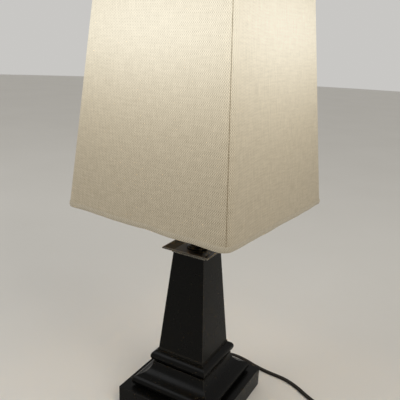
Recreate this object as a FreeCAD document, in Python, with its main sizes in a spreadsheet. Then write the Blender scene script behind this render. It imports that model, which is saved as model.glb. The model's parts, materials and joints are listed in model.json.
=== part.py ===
import FreeCAD, Part

import math
import os

import Sketcher
from FreeCAD import Placement, Rotation, Vector

# Column table lamp: a stepped square foot, a tapered square column, a square drip tray, and a tall square
# shade held by a harp. The origin is the middle of the foot's underside, on the table. +Z is up, the
# front face is -Y, and the cord leaves at the back, +Y. All lengths are millimetres.

SIZES = (
    # Foot
    ("felt_thick", 1.5, "felt pad under the foot"),
    ("foot_gap", 1.0, "height of the plinth's lower edge above the table"),
    ("plinth_half", 79.5, "half the plinth's width"),
    ("plinth_height", 30.9, "height of the plinth"),
    ("plinth_wall", 5.0, "wall and roof of the hollow plinth"),
    ("plinth_round", 0.8, "rounded edges of the plinth"),
    ("cover_thick", 1.5, "steel plate that closes the plinth"),
    ("cover_rest", 1.0, "ledge that the plate seats on"),
    ("cover_play", 0.2, "clearance round the plate"),
    ("felt_inset", 1.5, "border of the plate left bare by the felt"),
    ("boss_side", 10.0, "square corner boss for a screw"),
    ("screw_radius", 1.5, "shank of the plate's screws"),
    ("screw_head", 3.0, "head of the plate's screws"),
    ("screw_length", 10.0, "length of the plate's screws above the plate"),
    ("weight_half", 62.0, "half the width of the cast weight"),
    ("weight_thick", 9.7, "thickness of the cast weight"),
    ("exit_height", 12.0, "height of the cord's hole above the table"),
    # Mouldings
    ("quirk_half", 61.0, "half width of the dark groove over the plinth"),
    ("quirk_height", 2.7, "height of that groove"),
    ("lip_half", 66.0, "half width of the moulding's round lip"),
    ("lip_rise", 7.4, "height of the lip's widest line over the plinth"),
    ("lip_radius", 9.15, "radius of the lip"),
    ("lip_return", 1.525, "how far the lip's lower edge stands back from its widest line"),
    ("sweep_half", 43.2, "half width at the top of the hollow sweep"),
    ("moulding_height", 37.3, "height of the lower moulding"),
    ("moulding_roof", 6.0, "thickness of its top"),
    ("moulding_bore_half", 34.0, "half width of the room inside it"),
    ("bead_half", 46.3, "half width of the square bead"),
    ("bead_radius", 9.2, "radius of the bead"),
    ("collar_half", 38.5, "half width of the flat collar over the bead"),
    ("collar_height", 3.4, "height of that collar"),
    ("collar_slope", 0.8, "height of the slope from the collar to the column"),
    ("ring_bore_half", 27.0, "half width of the opening in the bead ring"),
    # Column and tray
    ("column_foot_half", 37.3, "half width of the column at its foot"),
    ("column_top_half", 24.7, "half width of the column at its top"),
    ("column_height", 152.5, "height of the column"),
    ("column_wall", 2.5, "wall of the column"),
    ("tray_half", 36.3, "half width of the tray's rim"),
    ("tray_height", 8.3, "height of the tray"),
    ("tray_rim", 2.0, "height of the rim's edge"),
    ("tray_lip", 1.3, "thickness of the rim"),
    ("tray_floor", 3.4, "thickness of the tray's floor"),
    ("tray_floor_half", 24.0, "half width of the floor inside the flared sides"),
    ("tray_neck_step", 1.5, "reach of the small moulding under the tray"),
    ("tray_neck_height", 1.3, "height of that moulding"),
    ("tray_sweep_radius", 14.0, "radius of the hollow under the tray"),
    # Rod and neck
    ("rod_radius", 5.0, "threaded pipe that clamps the stack"),
    ("rod_bore", 3.6, "bore of that pipe"),
    ("rod_start", 9.0, "height of the pipe's lower end"),
    ("rod_play", 0.15, "clearance round the pipe"),
    ("nut_half", 7.9, "half of the nut's width across its flats"),
    ("nut_thick", 5.5, "thickness of the nut"),
    ("washer_thick", 1.2, "thickness of the washer over the nut"),
    ("washer_radius", 9.5, "radius of that washer"),
    ("neck_height", 189.9, "height of the neck tube over the tray"),
    ("neck_radius", 9.5, "radius of the neck tube"),
    ("neck_wall", 1.5, "wall of the neck tube"),
    ("neck_foot_radius", 15.0, "radius of the neck's foot"),
    ("neck_foot_height", 3.0, "height of that foot"),
    ("neck_collar_radius", 12.5, "radius of the collar under the saddle"),
    ("neck_collar_height", 5.0, "height of that collar"),
    # Saddle and harp, heights over the saddle's underside
    ("saddle_thick", 1.5, "thickness of the saddle's strip"),
    ("saddle_width", 10.0, "width of the saddle's strip"),
    ("saddle_bend", 2.0, "inner radius of the saddle's bends"),
    ("leg_spacing", 35.4, "distance of each harp leg from the middle"),
    ("shoulder_height", 12.0, "height of the shoulders that carry the ferrules"),
    ("tongue_height", 19.0, "height of the tongues"),
    ("tongue_width", 4.0, "width of the tongues"),
    ("leg_gap", 0.5, "gap between a tongue and its leg"),
    ("harp_wire", 1.8, "radius of the harp's wire"),
    ("harp_height", 254.0, "saddle's underside to the seat of the shade"),
    ("harp_crown", 7.5, "depth of the wire's top run below the seat"),
    ("boss_radius", 5.5, "radius of the harp's boss"),
    ("boss_depth", 12.0, "depth of that boss below the seat"),
    ("flange_radius", 9.5, "radius of the seat"),
    ("flange_thick", 2.5, "thickness of the seat"),
    ("stud_radius", 3.17, "radius of the threaded stud"),
    ("stud_height", 14.0, "height of the stud over the seat"),
    ("ferrule_radius", 4.2, "radius of the ferrules"),
    ("ferrule_bore", 2.7, "bore of the ferrules"),
    ("ferrule_length", 17.5, "length of the ferrules"),
    ("ferrule_gap", 0.3, "gap between a ferrule and its shoulder"),
    # Socket, heights over the saddle's underside
    ("hub_radius", 8.0, "radius of the socket cap's hub"),
    ("hub_height", 5.1, "height of that hub"),
    ("cap_radius", 17.0, "radius of the socket's cap"),
    ("cap_wall", 0.9, "wall of the cap"),
    ("cap_dome", 12.6, "height at which the cap reaches its radius"),
    ("cap_top", 22.0, "height of the cap's rim"),
    ("shell_wall", 0.8, "wall of the socket's shell"),
    ("shell_foot", 14.0, "height of the shell's lower edge"),
    ("shell_top", 60.0, "height of the shell's upper edge"),
    ("liner_play", 0.1, "clearance round the insulating liner"),
    ("liner_wall", 0.6, "wall of the liner"),
    ("liner_inset", 2.0, "depth of the liner below the shell's edge"),
    ("insert_foot", 12.0, "height of the insulating insert's underside"),
    ("insert_top", 32.0, "height of the insert's top"),
    ("insert_radius", 13.9, "radius of the insert"),
    ("screw_shell_outer", 14.1, "outer radius of the screw shell"),
    ("screw_shell_inner", 13.5, "inner radius of the screw shell"),
    ("screw_shell_top", 57.0, "height of the screw shell's edge"),
    ("contact_radius", 3.5, "radius of the centre contact"),
    ("contact_thick", 1.0, "thickness of the centre contact"),
    ("terminal_radius", 2.3, "radius of the terminal screws"),
    ("terminal_height", 1.8, "height of the terminal screws"),
    ("terminal_reach", 6.5, "distance of the terminal screws from the middle"),
    ("set_screw_height", 4.4, "height of the cap's set screw"),
    ("set_screw_radius", 1.5, "shank of the set screw"),
    ("set_screw_head", 2.2, "radius of the set screw's head"),
    ("switch_height", 27.0, "height of the switch's shaft"),
    ("switch_radius", 1.8, "radius of the switch's shaft"),
    ("switch_play", 0.06, "running clearance of that shaft"),
    ("switch_hole", 2.4, "holes in the shell and the liner for it"),
    ("switch_depth", 6.0, "distance of the shaft's inner end from the middle"),
    ("knob_gap", 2.0, "gap between the socket's cap and the knob"),
    ("knob_radius", 4.6, "radius of the knob's hub"),
    ("knob_length", 15.0, "length of the knob"),
    ("paddle_half", 7.5, "half width of the knob's paddle"),
    ("paddle_thick", 4.0, "thickness of the paddle"),
    ("paddle_corner", 1.3, "rounded corners of the paddle"),
    ("paddle_hub", 3.5, "length of the knob's hub before the paddle"),
    # Bulb, heights over the saddle's underside
    ("bulb_gap", 0.4, "gap between the bulb's contact and the socket's"),
    ("tip_radius", 4.5, "radius of the bulb's contact"),
    ("tip_height", 2.2, "height of the bulb's contact"),
    ("bulb_cap_radius", 13.1, "radius of the bulb's metal cap"),
    ("bulb_cap_top", 60.0, "height of the cap's edge"),
    ("bulb_neck", 13.5, "radius of the glass at the cap"),
    ("bulb_neck_top", 72.0, "height at which the glass begins to widen"),
    ("bulb_radius", 30.0, "radius of the bulb"),
    ("bulb_middle", 114.0, "height of the bulb's middle"),
    ("glass_wall", 1.0, "wall of the glass"),
    # Shade
    ("shade_half", 127.0, "half the shade's width at its lower edge"),
    ("shade_top_half", 88.0, "half the shade's width at its upper edge"),
    ("shade_height", 406.0, "height of the shade"),
    ("shade_wall", 1.0, "fabric on its stiff lining"),
    ("shade_corner", 12.0, "rounded corners of the shade"),
    ("trim_thick", 0.7, "rolled fabric trim"),
    ("trim_height", 6.2, "height of the trim"),
    ("ring_wire", 1.5, "radius of the shade's ring wires"),
    ("ring_inset", 3.0, "distance of a ring from the shade's edge"),
    ("ring_play", 0.1, "gap between a ring and the shade"),
    ("rib_wire", 1.2, "radius of the corner ribs"),
    ("spider_drop", 28.0, "depth of the spider's hub below the upper edge"),
    ("spider_wire", 1.25, "radius of the spider's arms"),
    ("spider_hub", 12.0, "radius of the spider's washer"),
    ("spider_bore", 3.6, "bore of the spider's washer"),
    ("spider_thick", 1.6, "thickness of the spider's washer"),
    ("spider_rise_start", 21.0, "distance from the ring at which an arm begins to rise"),
    ("spider_rise_end", 11.8, "distance from the ring at which it is level again"),
    ("finial_bore", 3.23, "threaded bore of the finial"),
    ("finial_bore_depth", 15.0, "depth of that bore"),
    ("finial_foot", 8.0, "radius of the finial's foot"),
    ("finial_foot_height", 2.5, "height of that foot"),
    ("finial_neck", 4.6, "radius of the finial's neck"),
    ("finial_ball", 8.6, "radius of the finial's ball"),
    ("finial_ball_height", 17.5, "height of the ball's middle"),
    ("finial_tip_foot", 2.4, "radius at the foot of the finial's tip"),
    ("finial_tip", 3.3, "radius of the finial's tip"),
    ("finial_height", 31.5, "height of the finial"),
    # Cord and its fittings
    ("cord_diameter", 6.0, "tube that stands for the flat twin cord"),
    ("lead_radius", 1.3, "radius of each insulated lead inside"),
    ("lead_spacing", 1.7, "distance of each lead from the middle"),
    ("lead_run", 21.5, "level run of the leads inside the bushing"),
    ("lead_turn", 14.3, "distance from the pipe at which the leads turn to rise in it"),
    ("bushing_radius", 5.5, "radius of the bushing in the plinth's wall"),
    ("bushing_flange", 8.0, "radius of the bushing's flange"),
    ("bushing_flange_thick", 2.5, "thickness of that flange"),
    ("bushing_nut", 7.0, "radius of the bushing's nut inside"),
    ("bushing_nut_thick", 3.0, "thickness of that nut"),
    ("relief_root", 5.2, "radius of the relief at the flange"),
    ("relief_end", 3.9, "radius of the relief at its end"),
    ("relief_length", 8.0, "length of the relief beyond the flange"),
    ("plug_half", 12.0, "half width of the plug"),
    ("plug_thick", 12.5, "thickness of the plug"),
    ("plug_length", 21.0, "length of the plug's body"),
    ("plug_shoulder", 9.0, "length of the plug's sloping shoulder"),
    ("plug_neck_half", 5.0, "half width of the plug where the cord enters"),
    ("plug_neck_thick", 9.0, "thickness of the plug there"),
    ("plug_corner", 2.5, "rounded corners of the plug"),
    ("blade_spacing", 6.35, "distance of each blade from the plug's middle"),
    ("blade_thick", 1.5, "thickness of a blade"),
    ("blade_width", 6.35, "width of a blade"),
    ("blade_length", 17.5, "length of a blade"),
)

SHADE_TURN = -5.6  # degrees: the shade sits a little askew on the column
QUARTER = 90.0
WHOLE_TURN = 360.0
SIDES = 4
HEX_SIDES = 6
THROUGH = 3  # a cut this many times as long as the half width passes right through

doc = FreeCAD.newDocument("column_table_lamp")
sheet = doc.addObject("Spreadsheet::Sheet", "Sizes")
parts = []


class Size:
    """A length from the sheet, or one worked out from such lengths, with the formula that binds it."""

    def __init__(self, value, formula):
        self.value = value
        self.formula = formula

    def joined(self, other, sign, value):
        return Size(value, f"({self.formula} {sign} {other.formula})")

    def __add__(self, other):
        other = as_size(other)
        return self.joined(other, "+", self.value + other.value)

    def __radd__(self, other):
        return as_size(other) + self

    def __sub__(self, other):
        other = as_size(other)
        return self.joined(other, "-", self.value - other.value)

    def __rsub__(self, other):
        return as_size(other) - self

    def __mul__(self, other):
        other = as_size(other)
        return self.joined(other, "*", self.value * other.value)

    def __rmul__(self, other):
        return as_size(other) * self

    def __truediv__(self, other):
        other = as_size(other)
        return self.joined(other, "/", self.value / other.value)

    def __neg__(self):
        return as_size(0) - self


def as_size(number):
    return number if isinstance(number, Size) else Size(float(number), repr(float(number)))


class Dimensions:
    """The sheet's sizes by name."""


def fill_sheet():
    sizes = Dimensions()
    for row, (name, value, note) in enumerate(SIZES, start=1):
        sheet.set(f"A{row}", note)
        sheet.set(f"B{row}", str(value))
        sheet.setAlias(f"B{row}", name)
    doc.recompute()
    for name, _value, _note in SIZES:
        setattr(sizes, name, Size(float(sheet.get(name)), f"Sizes.{name}"))
    return sizes


dim = fill_sheet()


# Bodies, sketches and features


def new_body(name):
    body = doc.addObject("PartDesign::Body", name)
    body.Label = name
    parts.append(body)
    return body


def place(body, x=0, y=0, z=0, axis=Vector(0, 0, 1), angle=0.0):
    """Puts a body where it belongs, with its position bound to the sheet."""
    spot = [as_size(value) for value in (x, y, z)]
    body.Placement = Placement(Vector(*[value.value for value in spot]), Rotation(axis, angle))
    for letter, value in zip("xyz", spot):
        body.setExpression(f"Placement.Base.{letter}", value.formula)
    return body


def new_sketch(body, role="XY_Plane", lift=0):
    """A sketch on one of the body's own origin planes, moved along the plane's normal by lift."""
    sketch = body.newObject("Sketcher::SketchObject", f"{body.Label}_sketch")
    plane = next(item for item in body.Origin.OriginFeatures if item.Role == role)
    sketch.AttachmentSupport = [(plane, "")]
    sketch.MapMode = "FlatFace"
    lift = as_size(lift)
    sketch.AttachmentOffset = Placement(Vector(0, 0, lift.value), Rotation())
    sketch.setExpression("AttachmentOffset.Base.z", lift.formula)
    return sketch


def bind(sketch, kind, *where, size):
    number = sketch.addConstraint(Sketcher.Constraint(kind, *where, size.value))
    sketch.setExpression(f"Constraints[{number}]", size.formula)


def arc_centre(start, end, radius):
    """Centre of the arc under half a turn from start to end: on the left of the way for a positive radius."""
    chord = end - start
    left = Vector(-chord.y, chord.x, 0).normalize()
    depth = math.sqrt(max(radius * radius - chord.Length**2 / 4, 0.0))
    return start + chord * 0.5 + left * math.copysign(depth, radius)


def outline(sketch, corners):
    """A closed outline through (x, y) corners. A third entry is the radius of the arc that leads there,
    positive where it turns left and negative where it turns right."""
    spots = [[as_size(value) for value in corner] for corner in corners]
    first = sketch.GeometryCount
    ends = []
    for number, spot in enumerate(spots):
        before = spots[number - 1]
        start = Vector(before[0].value, before[1].value, 0)
        end = Vector(spot[0].value, spot[1].value, 0)
        if len(spot) == 2:
            geometry = Part.LineSegment(start, end)
            ends.append((1, 2))
        else:
            radius = spot[2].value
            middle = arc_centre(start, end, radius)
            circle = Part.Circle(middle, Vector(0, 0, 1), abs(radius))
            lead, trail = (start, end) if radius > 0 else (end, start)
            angles = [math.atan2(point.y - middle.y, point.x - middle.x) for point in (lead, trail)]
            geometry = Part.ArcOfCircle(circle, *angles)
            ends.append((1, 2) if radius > 0 else (2, 1))
        sketch.addGeometry(geometry)
    for number, spot in enumerate(spots):
        edge = first + number
        start_end, far_end = ends[number]
        previous = first + (number - 1) % len(spots)
        previous_far = ends[number - 1][1]
        sketch.addConstraint(Sketcher.Constraint("Coincident", previous, previous_far, edge, start_end))
        bind(sketch, "DistanceX", -1, 1, edge, far_end, size=spot[0])
        bind(sketch, "DistanceY", -1, 1, edge, far_end, size=spot[1])
        if len(spot) == 3:
            size = spot[2] if spot[2].value > 0 else -spot[2]
            bind(sketch, "Radius", edge, size=size)
    return sketch


def circle(sketch, x, y, radius):
    x, y, radius = as_size(x), as_size(y), as_size(radius)
    shape = Part.Circle(Vector(x.value, y.value, 0), Vector(0, 0, 1), radius.value)
    number = sketch.addGeometry(shape)
    bind(sketch, "DistanceX", -1, 1, number, 3, size=x)
    bind(sketch, "DistanceY", -1, 1, number, 3, size=y)
    bind(sketch, "Radius", number, size=radius)
    return sketch


def rectangle(sketch, left, low, right, high):
    return outline(sketch, ((left, low), (right, low), (right, high), (left, high)))


def square(sketch, half):
    return rectangle(sketch, -half, -half, half, half)


def rounded_rectangle(sketch, half_x, half_y, radius):
    across = half_x - radius
    along = half_y - radius
    corners = (
        (across, -half_y),
        (half_x, -along, radius),
        (half_x, along),
        (across, half_y, radius),
        (-across, half_y),
        (-half_x, along, radius),
        (-half_x, -along),
        (-across, -half_y, radius),
    )
    return outline(sketch, corners)


def pad(body, sketch, length, midplane=False):
    feature = body.newObject("PartDesign::Pad", f"{body.Label}_pad")
    feature.Profile = (sketch, [""])
    feature.Midplane = midplane
    feature.setExpression("Length", as_size(length).formula)
    doc.recompute()
    return feature


def pocket(body, sketch, length, midplane=False, along_normal=False):
    """Cuts against the sketch's normal, or along it, or half each way."""
    feature = body.newObject("PartDesign::Pocket", f"{body.Label}_pocket")
    feature.Profile = (sketch, [""])
    feature.Midplane = midplane
    feature.Reversed = along_normal
    before = body.Shape.Volume
    feature.setExpression("Length", as_size(length).formula)
    doc.recompute()
    if body.Shape.Volume >= before:
        raise RuntimeError(f"a pocket of {body.Label} cuts nothing")
    return feature


def round_edges(body, radius, wanted):
    """Rounds the body's edges for which wanted(edge) is true."""
    base = body.Tip
    names = [f"Edge{number}" for number, edge in enumerate(base.Shape.Edges, start=1) if wanted(edge)]
    feature = body.newObject("PartDesign::Fillet", f"{body.Label}_round")
    feature.Base = (base, names)
    feature.setExpression("Radius", as_size(radius).formula)
    doc.recompute()
    return feature


def loft(body, sketches, cut=False):
    kind = "PartDesign::SubtractiveLoft" if cut else "PartDesign::AdditiveLoft"
    feature = body.newObject(kind, f"{body.Label}_loft")
    feature.Profile = (sketches[0], [""])
    feature.Sections = [(sketch, [""]) for sketch in sketches[1:]]
    feature.Ruled = True
    doc.recompute()
    return feature


def around(body, count, *features):
    """Repeats features round the body's Z axis."""
    pattern = body.newObject("PartDesign::PolarPattern", f"{body.Label}_pattern")
    axis = next(item for item in body.Origin.OriginFeatures if item.Role == "Z_Axis")
    pattern.Originals = list(features)
    pattern.Axis = (axis, [""])
    pattern.Angle = WHOLE_TURN
    pattern.Occurrences = count
    body.Tip = pattern
    doc.recompute()
    return pattern


def turned(name, corners):
    """A round piece: its half section, as (radius, height) corners, turned about the Z axis."""
    body = new_body(name)
    sketch = outline(new_sketch(body, "XZ_Plane"), corners)
    feature = body.newObject("PartDesign::Revolution", f"{name}_turn")
    feature.Profile = (sketch, [""])
    feature.ReferenceAxis = (sketch, ["V_Axis"])
    feature.Angle = WHOLE_TURN
    doc.recompute()
    return body


def tube_section(inner, outer, low, high):
    return ((inner, low), (outer, low), (outer, high), (inner, high))


def mirrored(corners):
    """The right half of an outline, bottom to top, with its left half. An arc stays with its two ends."""
    bare = [corner[:2] for corner in corners]
    radii = [corner[2:] for corner in corners]
    left = [(-bare[-1][0], bare[-1][1])]
    for number in range(len(corners) - 2, -1, -1):
        left.append((-bare[number][0], bare[number][1]) + radii[number + 1])
    return list(corners) + left


def square_moulding(name, half_profile, reach):
    """A moulding with mitred corners: its profile is run along Y, then the same profile is milled along X.
    half_profile goes up the right side, and reach is more than its widest half width."""
    body = new_body(name)
    pad(body, outline(new_sketch(body, "XZ_Plane"), mirrored(half_profile)), 2 * reach, midplane=True)
    low = as_size(half_profile[0][1])
    high = as_size(half_profile[-1][1])
    waste = new_sketch(body, "YZ_Plane")
    rectangle(waste, -2 * reach, low - reach, 2 * reach, high + reach)
    outline(waste, mirrored(half_profile))
    pocket(body, waste, THROUGH * reach, midplane=True)
    return body


def bore(body, radius, low, depth):
    """A round hole up the Z axis, from low upwards."""
    return pocket(body, circle(new_sketch(body, lift=low), 0, 0, radius), depth, along_normal=True)


# Wires, leads and cords: straight runs joined by tangent arcs

ARC_SHARE = 0.45  # share of the shorter run that each arc takes
VOLUME_SLACK = 0.01  # share by which a tube's volume may differ from section times length


def bend_radius(before, corner, after):
    """Radius of the arc at a corner, and half of its turn."""
    shorter = min((corner - before).Length, (after - corner).Length)
    half_turn = (corner - before).getAngle(after - corner) / 2
    return ARC_SHARE * shorter / math.tan(half_turn), half_turn


def rounded_path(points):
    """The route through points as a wire, with the smallest radius of its arcs."""
    edges = []
    smallest = math.inf
    reached = points[0]
    for before, corner, after in zip(points, points[1:], points[2:]):
        radius, half_turn = bend_radius(before, corner, after)
        smallest = min(smallest, radius)
        into = (corner - before).normalize()
        out = (after - corner).normalize()
        cut = radius * math.tan(half_turn)
        start = corner - into * cut
        end = corner + out * cut
        inward = (out - into).normalize()
        middle = corner + inward * (radius / math.cos(half_turn) - radius)
        edges.append(Part.LineSegment(reached, start).toShape())
        edges.append(Part.Arc(start, middle, end).toShape())
        reached = end
    edges.append(Part.LineSegment(reached, points[-1]).toShape())
    return Part.Wire(edges), smallest


def swept_solid(name, wire, start, heading, radius):
    """A round tube along a wire, checked against its section times its length."""
    section = Part.Wire(Part.Circle(start, heading, radius).toShape())
    shape = wire.makePipeShell([section], True, False)
    expected = math.pi * radius**2 * wire.Length
    if abs(shape.Volume / expected - 1) > VOLUME_SLACK:
        raise RuntimeError(f"{name} has the wrong volume")
    return shape


def swept(name, routes, radius):
    """One or more rods of one piece name, each through its list of points."""
    shapes = []
    for points in routes:
        wire, smallest = rounded_path(points)
        shapes.append(swept_solid(name, wire, points[0], points[1] - points[0], radius))
        print(f"{name}: length {wire.Length:.1f} mm, smallest radius {smallest:.1f} mm")
    return made_feature(name, shapes)


def made_feature(name, shapes):
    feature = doc.addObject("Part::Feature", name)
    feature.Label = name
    feature.Shape = shapes[0] if len(shapes) == 1 else Part.makeCompound(shapes)
    feature.Placement = Placement()
    parts.append(feature)
    return feature


# Heights of the stack, from the table up

plinth_top = dim.foot_gap + dim.plinth_height
moulding_top = plinth_top + dim.moulding_height
bead_top = moulding_top + 2 * dim.bead_radius
collar_top = bead_top + dim.collar_height
column_foot = collar_top + dim.collar_slope
column_top = column_foot + dim.column_height
tray_top = column_top + dim.tray_height
tray_floor_top = column_top + dim.tray_floor
saddle = tray_floor_top + dim.neck_height
seat = saddle + dim.harp_height
shade_top = seat + dim.spider_drop
shade_foot = shade_top - dim.shade_height
rod_hole = dim.rod_radius + dim.rod_play


# Foot

cover_low = dim.felt_thick
cover_top = cover_low + dim.cover_thick
plinth_cavity_half = dim.plinth_half - dim.plinth_wall
cover_recess_half = plinth_cavity_half + dim.cover_rest
cover_half = cover_recess_half - dim.cover_play
cavity_roof = plinth_top - dim.plinth_wall
screw_spot = plinth_cavity_half - dim.boss_side / 2


def build_felt_pad():
    body = new_body("felt_pad")
    pad(body, square(new_sketch(body), cover_half - dim.felt_inset), dim.felt_thick)


def build_base_cover():
    body = new_body("base_cover")
    pad(body, square(new_sketch(body, lift=cover_low), cover_half), dim.cover_thick)
    hole = circle(new_sketch(body, lift=cover_low), screw_spot, screw_spot, dim.screw_radius)
    around(body, SIDES, pocket(body, hole, dim.cover_thick, along_normal=True))
    seat_hole = circle(new_sketch(body, lift=cover_low), screw_spot, screw_spot, dim.screw_head)
    around(body, SIDES, pocket(body, seat_hole, dim.cover_thick / 2, along_normal=True))


def build_cover_screws():
    body = new_body("cover_screws")
    low = cover_low
    head = circle(new_sketch(body, lift=low), screw_spot, screw_spot, dim.screw_head)
    heads = pad(body, head, dim.cover_thick / 2)
    shank = circle(new_sketch(body, lift=low), screw_spot, screw_spot, dim.screw_radius)
    around(body, SIDES, heads, pad(body, shank, dim.cover_thick + dim.screw_length))


def build_plinth():
    body = new_body("plinth")
    pad(body, square(new_sketch(body, lift=dim.foot_gap), dim.plinth_half), dim.plinth_height)
    foot_edge = (dim.foot_gap + dim.plinth_round).value
    round_edges(body, dim.plinth_round, lambda edge: edge.BoundBox.ZMax > foot_edge)
    recess = square(new_sketch(body, lift=dim.foot_gap), cover_recess_half)
    pocket(body, recess, cover_top - dim.foot_gap, along_normal=True)
    wide = plinth_cavity_half
    inner = wide - dim.boss_side
    quarter = [(inner, wide), (inner, inner), (wide, inner)]
    corners = []
    for turn in range(SIDES):
        for x, y in reversed(quarter):
            corners.append((x, y))
        quarter = [(-y, x) for x, y in quarter]
    cavity = outline(new_sketch(body, lift=cover_top), corners)
    pocket(body, cavity, cavity_roof - cover_top, along_normal=True)
    screw_hole = circle(new_sketch(body, lift=cover_top), screw_spot, screw_spot, dim.screw_radius)
    around(body, SIDES, pocket(body, screw_hole, dim.screw_length, along_normal=True))
    bore(body, rod_hole, cavity_roof, dim.plinth_wall)
    cord_hole = circle(new_sketch(body, "XZ_Plane"), 0, dim.exit_height, dim.bushing_radius)
    pocket(body, cord_hole, dim.plinth_half)


def build_weight():
    body = new_body("weight")
    low = cavity_roof - dim.weight_thick
    pad(body, square(new_sketch(body, lift=low), dim.weight_half), dim.weight_thick)
    bore(body, rod_hole, low, dim.weight_thick)


def build_base_moulding():
    """A round lip that flows into a hollow sweep: two arcs that touch in one tangent point."""
    lip_z = plinth_top + dim.lip_rise
    height = moulding_top - lip_z
    narrowing = dim.lip_half - dim.sweep_half
    offset = dim.lip_radius - narrowing
    sweep_radius = (offset * offset + height * height - dim.lip_radius * dim.lip_radius) / (2 * narrowing)
    share = dim.lip_radius / (dim.lip_radius + sweep_radius)
    lip_centre_x = dim.lip_half - dim.lip_radius
    turn_x = lip_centre_x + share * (dim.sweep_half + sweep_radius - lip_centre_x)
    turn_z = lip_z + share * height
    quirk_top = plinth_top + dim.quirk_height
    profile = [
        (dim.quirk_half, plinth_top),
        (dim.quirk_half, quirk_top),
        (dim.lip_half - dim.lip_return, quirk_top),
        (dim.lip_half, lip_z, dim.lip_radius),
        (turn_x, turn_z, dim.lip_radius),
        (dim.sweep_half, moulding_top, -sweep_radius),
    ]
    body = square_moulding("base_moulding", profile, dim.plinth_half)
    room = square(new_sketch(body, lift=plinth_top), dim.moulding_bore_half)
    pocket(body, room, dim.moulding_height - dim.moulding_roof, along_normal=True)
    bore(body, rod_hole, moulding_top - dim.moulding_roof, dim.moulding_roof)


def build_column_base_ring():
    inner = dim.bead_half - dim.bead_radius
    profile = [
        (inner, moulding_top),
        (dim.bead_half, moulding_top + dim.bead_radius, dim.bead_radius),
        (inner, bead_top, dim.bead_radius),
        (dim.collar_half, bead_top),
        (dim.collar_half, collar_top),
        (dim.column_foot_half, column_foot),
    ]
    body = square_moulding("column_base_ring", profile, dim.plinth_half)
    opening = square(new_sketch(body, lift=moulding_top), dim.ring_bore_half)
    pocket(body, opening, column_foot - moulding_top, along_normal=True)


def build_column():
    body = new_body("column")
    outer = []
    inner = []
    for height, half in ((column_foot, dim.column_foot_half), (column_top, dim.column_top_half)):
        outer.append(square(new_sketch(body, lift=height), half))
    loft(body, outer)
    for height, half in ((column_foot, dim.column_foot_half), (column_top, dim.column_top_half)):
        inner.append(square(new_sketch(body, lift=height), half - dim.column_wall))
    loft(body, inner, cut=True)


def build_tray():
    step_half = dim.column_top_half + dim.tray_neck_step
    step_top = column_top + dim.tray_neck_height
    rim_low = tray_top - dim.tray_rim
    profile = [
        (step_half, column_top),
        (step_half, step_top),
        (dim.column_top_half, step_top),
        (dim.tray_half - dim.tray_lip, rim_low, -dim.tray_sweep_radius),
        (dim.tray_half, rim_low),
        (dim.tray_half, tray_top),
    ]
    body = square_moulding("tray", profile, dim.plinth_half)
    floor = square(new_sketch(body, lift=tray_floor_top), dim.tray_floor_half)
    mouth = square(new_sketch(body, lift=tray_top), dim.tray_half - dim.tray_lip)
    loft(body, [floor, mouth], cut=True)
    bore(body, rod_hole, column_top, dim.tray_floor)


# Rod, nut and neck


def build_rod_pieces():
    washer_top = cavity_roof - dim.weight_thick
    nut_top = washer_top - dim.washer_thick
    turned("rod_washer", tube_section(rod_hole, dim.washer_radius, nut_top, washer_top))
    nut = new_body("rod_nut")
    sketch = new_sketch(nut, lift=nut_top - dim.nut_thick)
    corner = dim.nut_half / math.cos(math.pi / HEX_SIDES)
    corners = []
    for number in range(HEX_SIDES):
        angle = 2 * math.pi * number / HEX_SIDES
        corners.append((corner * math.cos(angle), corner * math.sin(angle)))
    pad(nut, outline(sketch, corners), dim.nut_thick)
    bore(nut, dim.rod_radius, nut_top - dim.nut_thick, dim.nut_thick)
    rod_end = saddle + dim.saddle_thick + dim.hub_height
    turned("threaded_rod", tube_section(dim.rod_bore, dim.rod_radius, dim.rod_start, rod_end))


def build_neck():
    bore_radius = dim.neck_radius - dim.neck_wall
    foot_top = tray_floor_top + dim.neck_foot_height
    collar_low = saddle - dim.neck_collar_height
    slope = dim.neck_collar_height / 2
    corners = (
        (bore_radius, tray_floor_top),
        (dim.neck_foot_radius, tray_floor_top),
        (dim.neck_foot_radius, foot_top),
        (dim.neck_radius, foot_top + slope),
        (dim.neck_radius, collar_low - slope),
        (dim.neck_collar_radius, collar_low),
        (dim.neck_collar_radius, saddle),
        (rod_hole, saddle),
        (rod_hole, collar_low),
        (bore_radius, collar_low),
    )
    turned("neck", corners)


# Saddle and harp


def build_harp_saddle():
    body = new_body("harp_saddle")
    outer = dim.leg_spacing + dim.saddle_thick / 2
    inner = dim.leg_spacing - dim.saddle_thick / 2
    bend = dim.saddle_bend
    wide_bend = bend + dim.saddle_thick
    top = saddle + dim.shoulder_height
    floor = saddle + dim.saddle_thick
    corners = (
        (outer - wide_bend, saddle),
        (outer, saddle + wide_bend, wide_bend),
        (outer, top),
        (inner, top),
        (inner, floor + bend),
        (inner - bend, floor, -bend),
        (-inner + bend, floor),
        (-inner, floor + bend, -bend),
        (-inner, top),
        (-outer, top),
        (-outer, saddle + wide_bend),
        (-outer + wide_bend, saddle, wide_bend),
    )
    pad(body, outline(new_sketch(body, "XZ_Plane"), corners), dim.saddle_width, midplane=True)
    tip = saddle + dim.tongue_height
    tongues = new_sketch(body, "XZ_Plane")
    rectangle(tongues, inner, top - bend, outer, tip)
    rectangle(tongues, -outer, top - bend, -inner, tip)
    pad(body, tongues, dim.tongue_width, midplane=True)
    bore(body, rod_hole, saddle, dim.saddle_thick)


HARP_DRAWN = 254.0  # harp height at which the bends below are drawn
HARP_KNEE = 62.0  # height of the first bend over the saddle
HARP_BELLY = ((52.0, 112.0), (54.0, 170.0), (38.0, 226.0))  # (distance from the middle, height)
HARP_CROWN_HALF = 20.0  # half of the level run at the top


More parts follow.
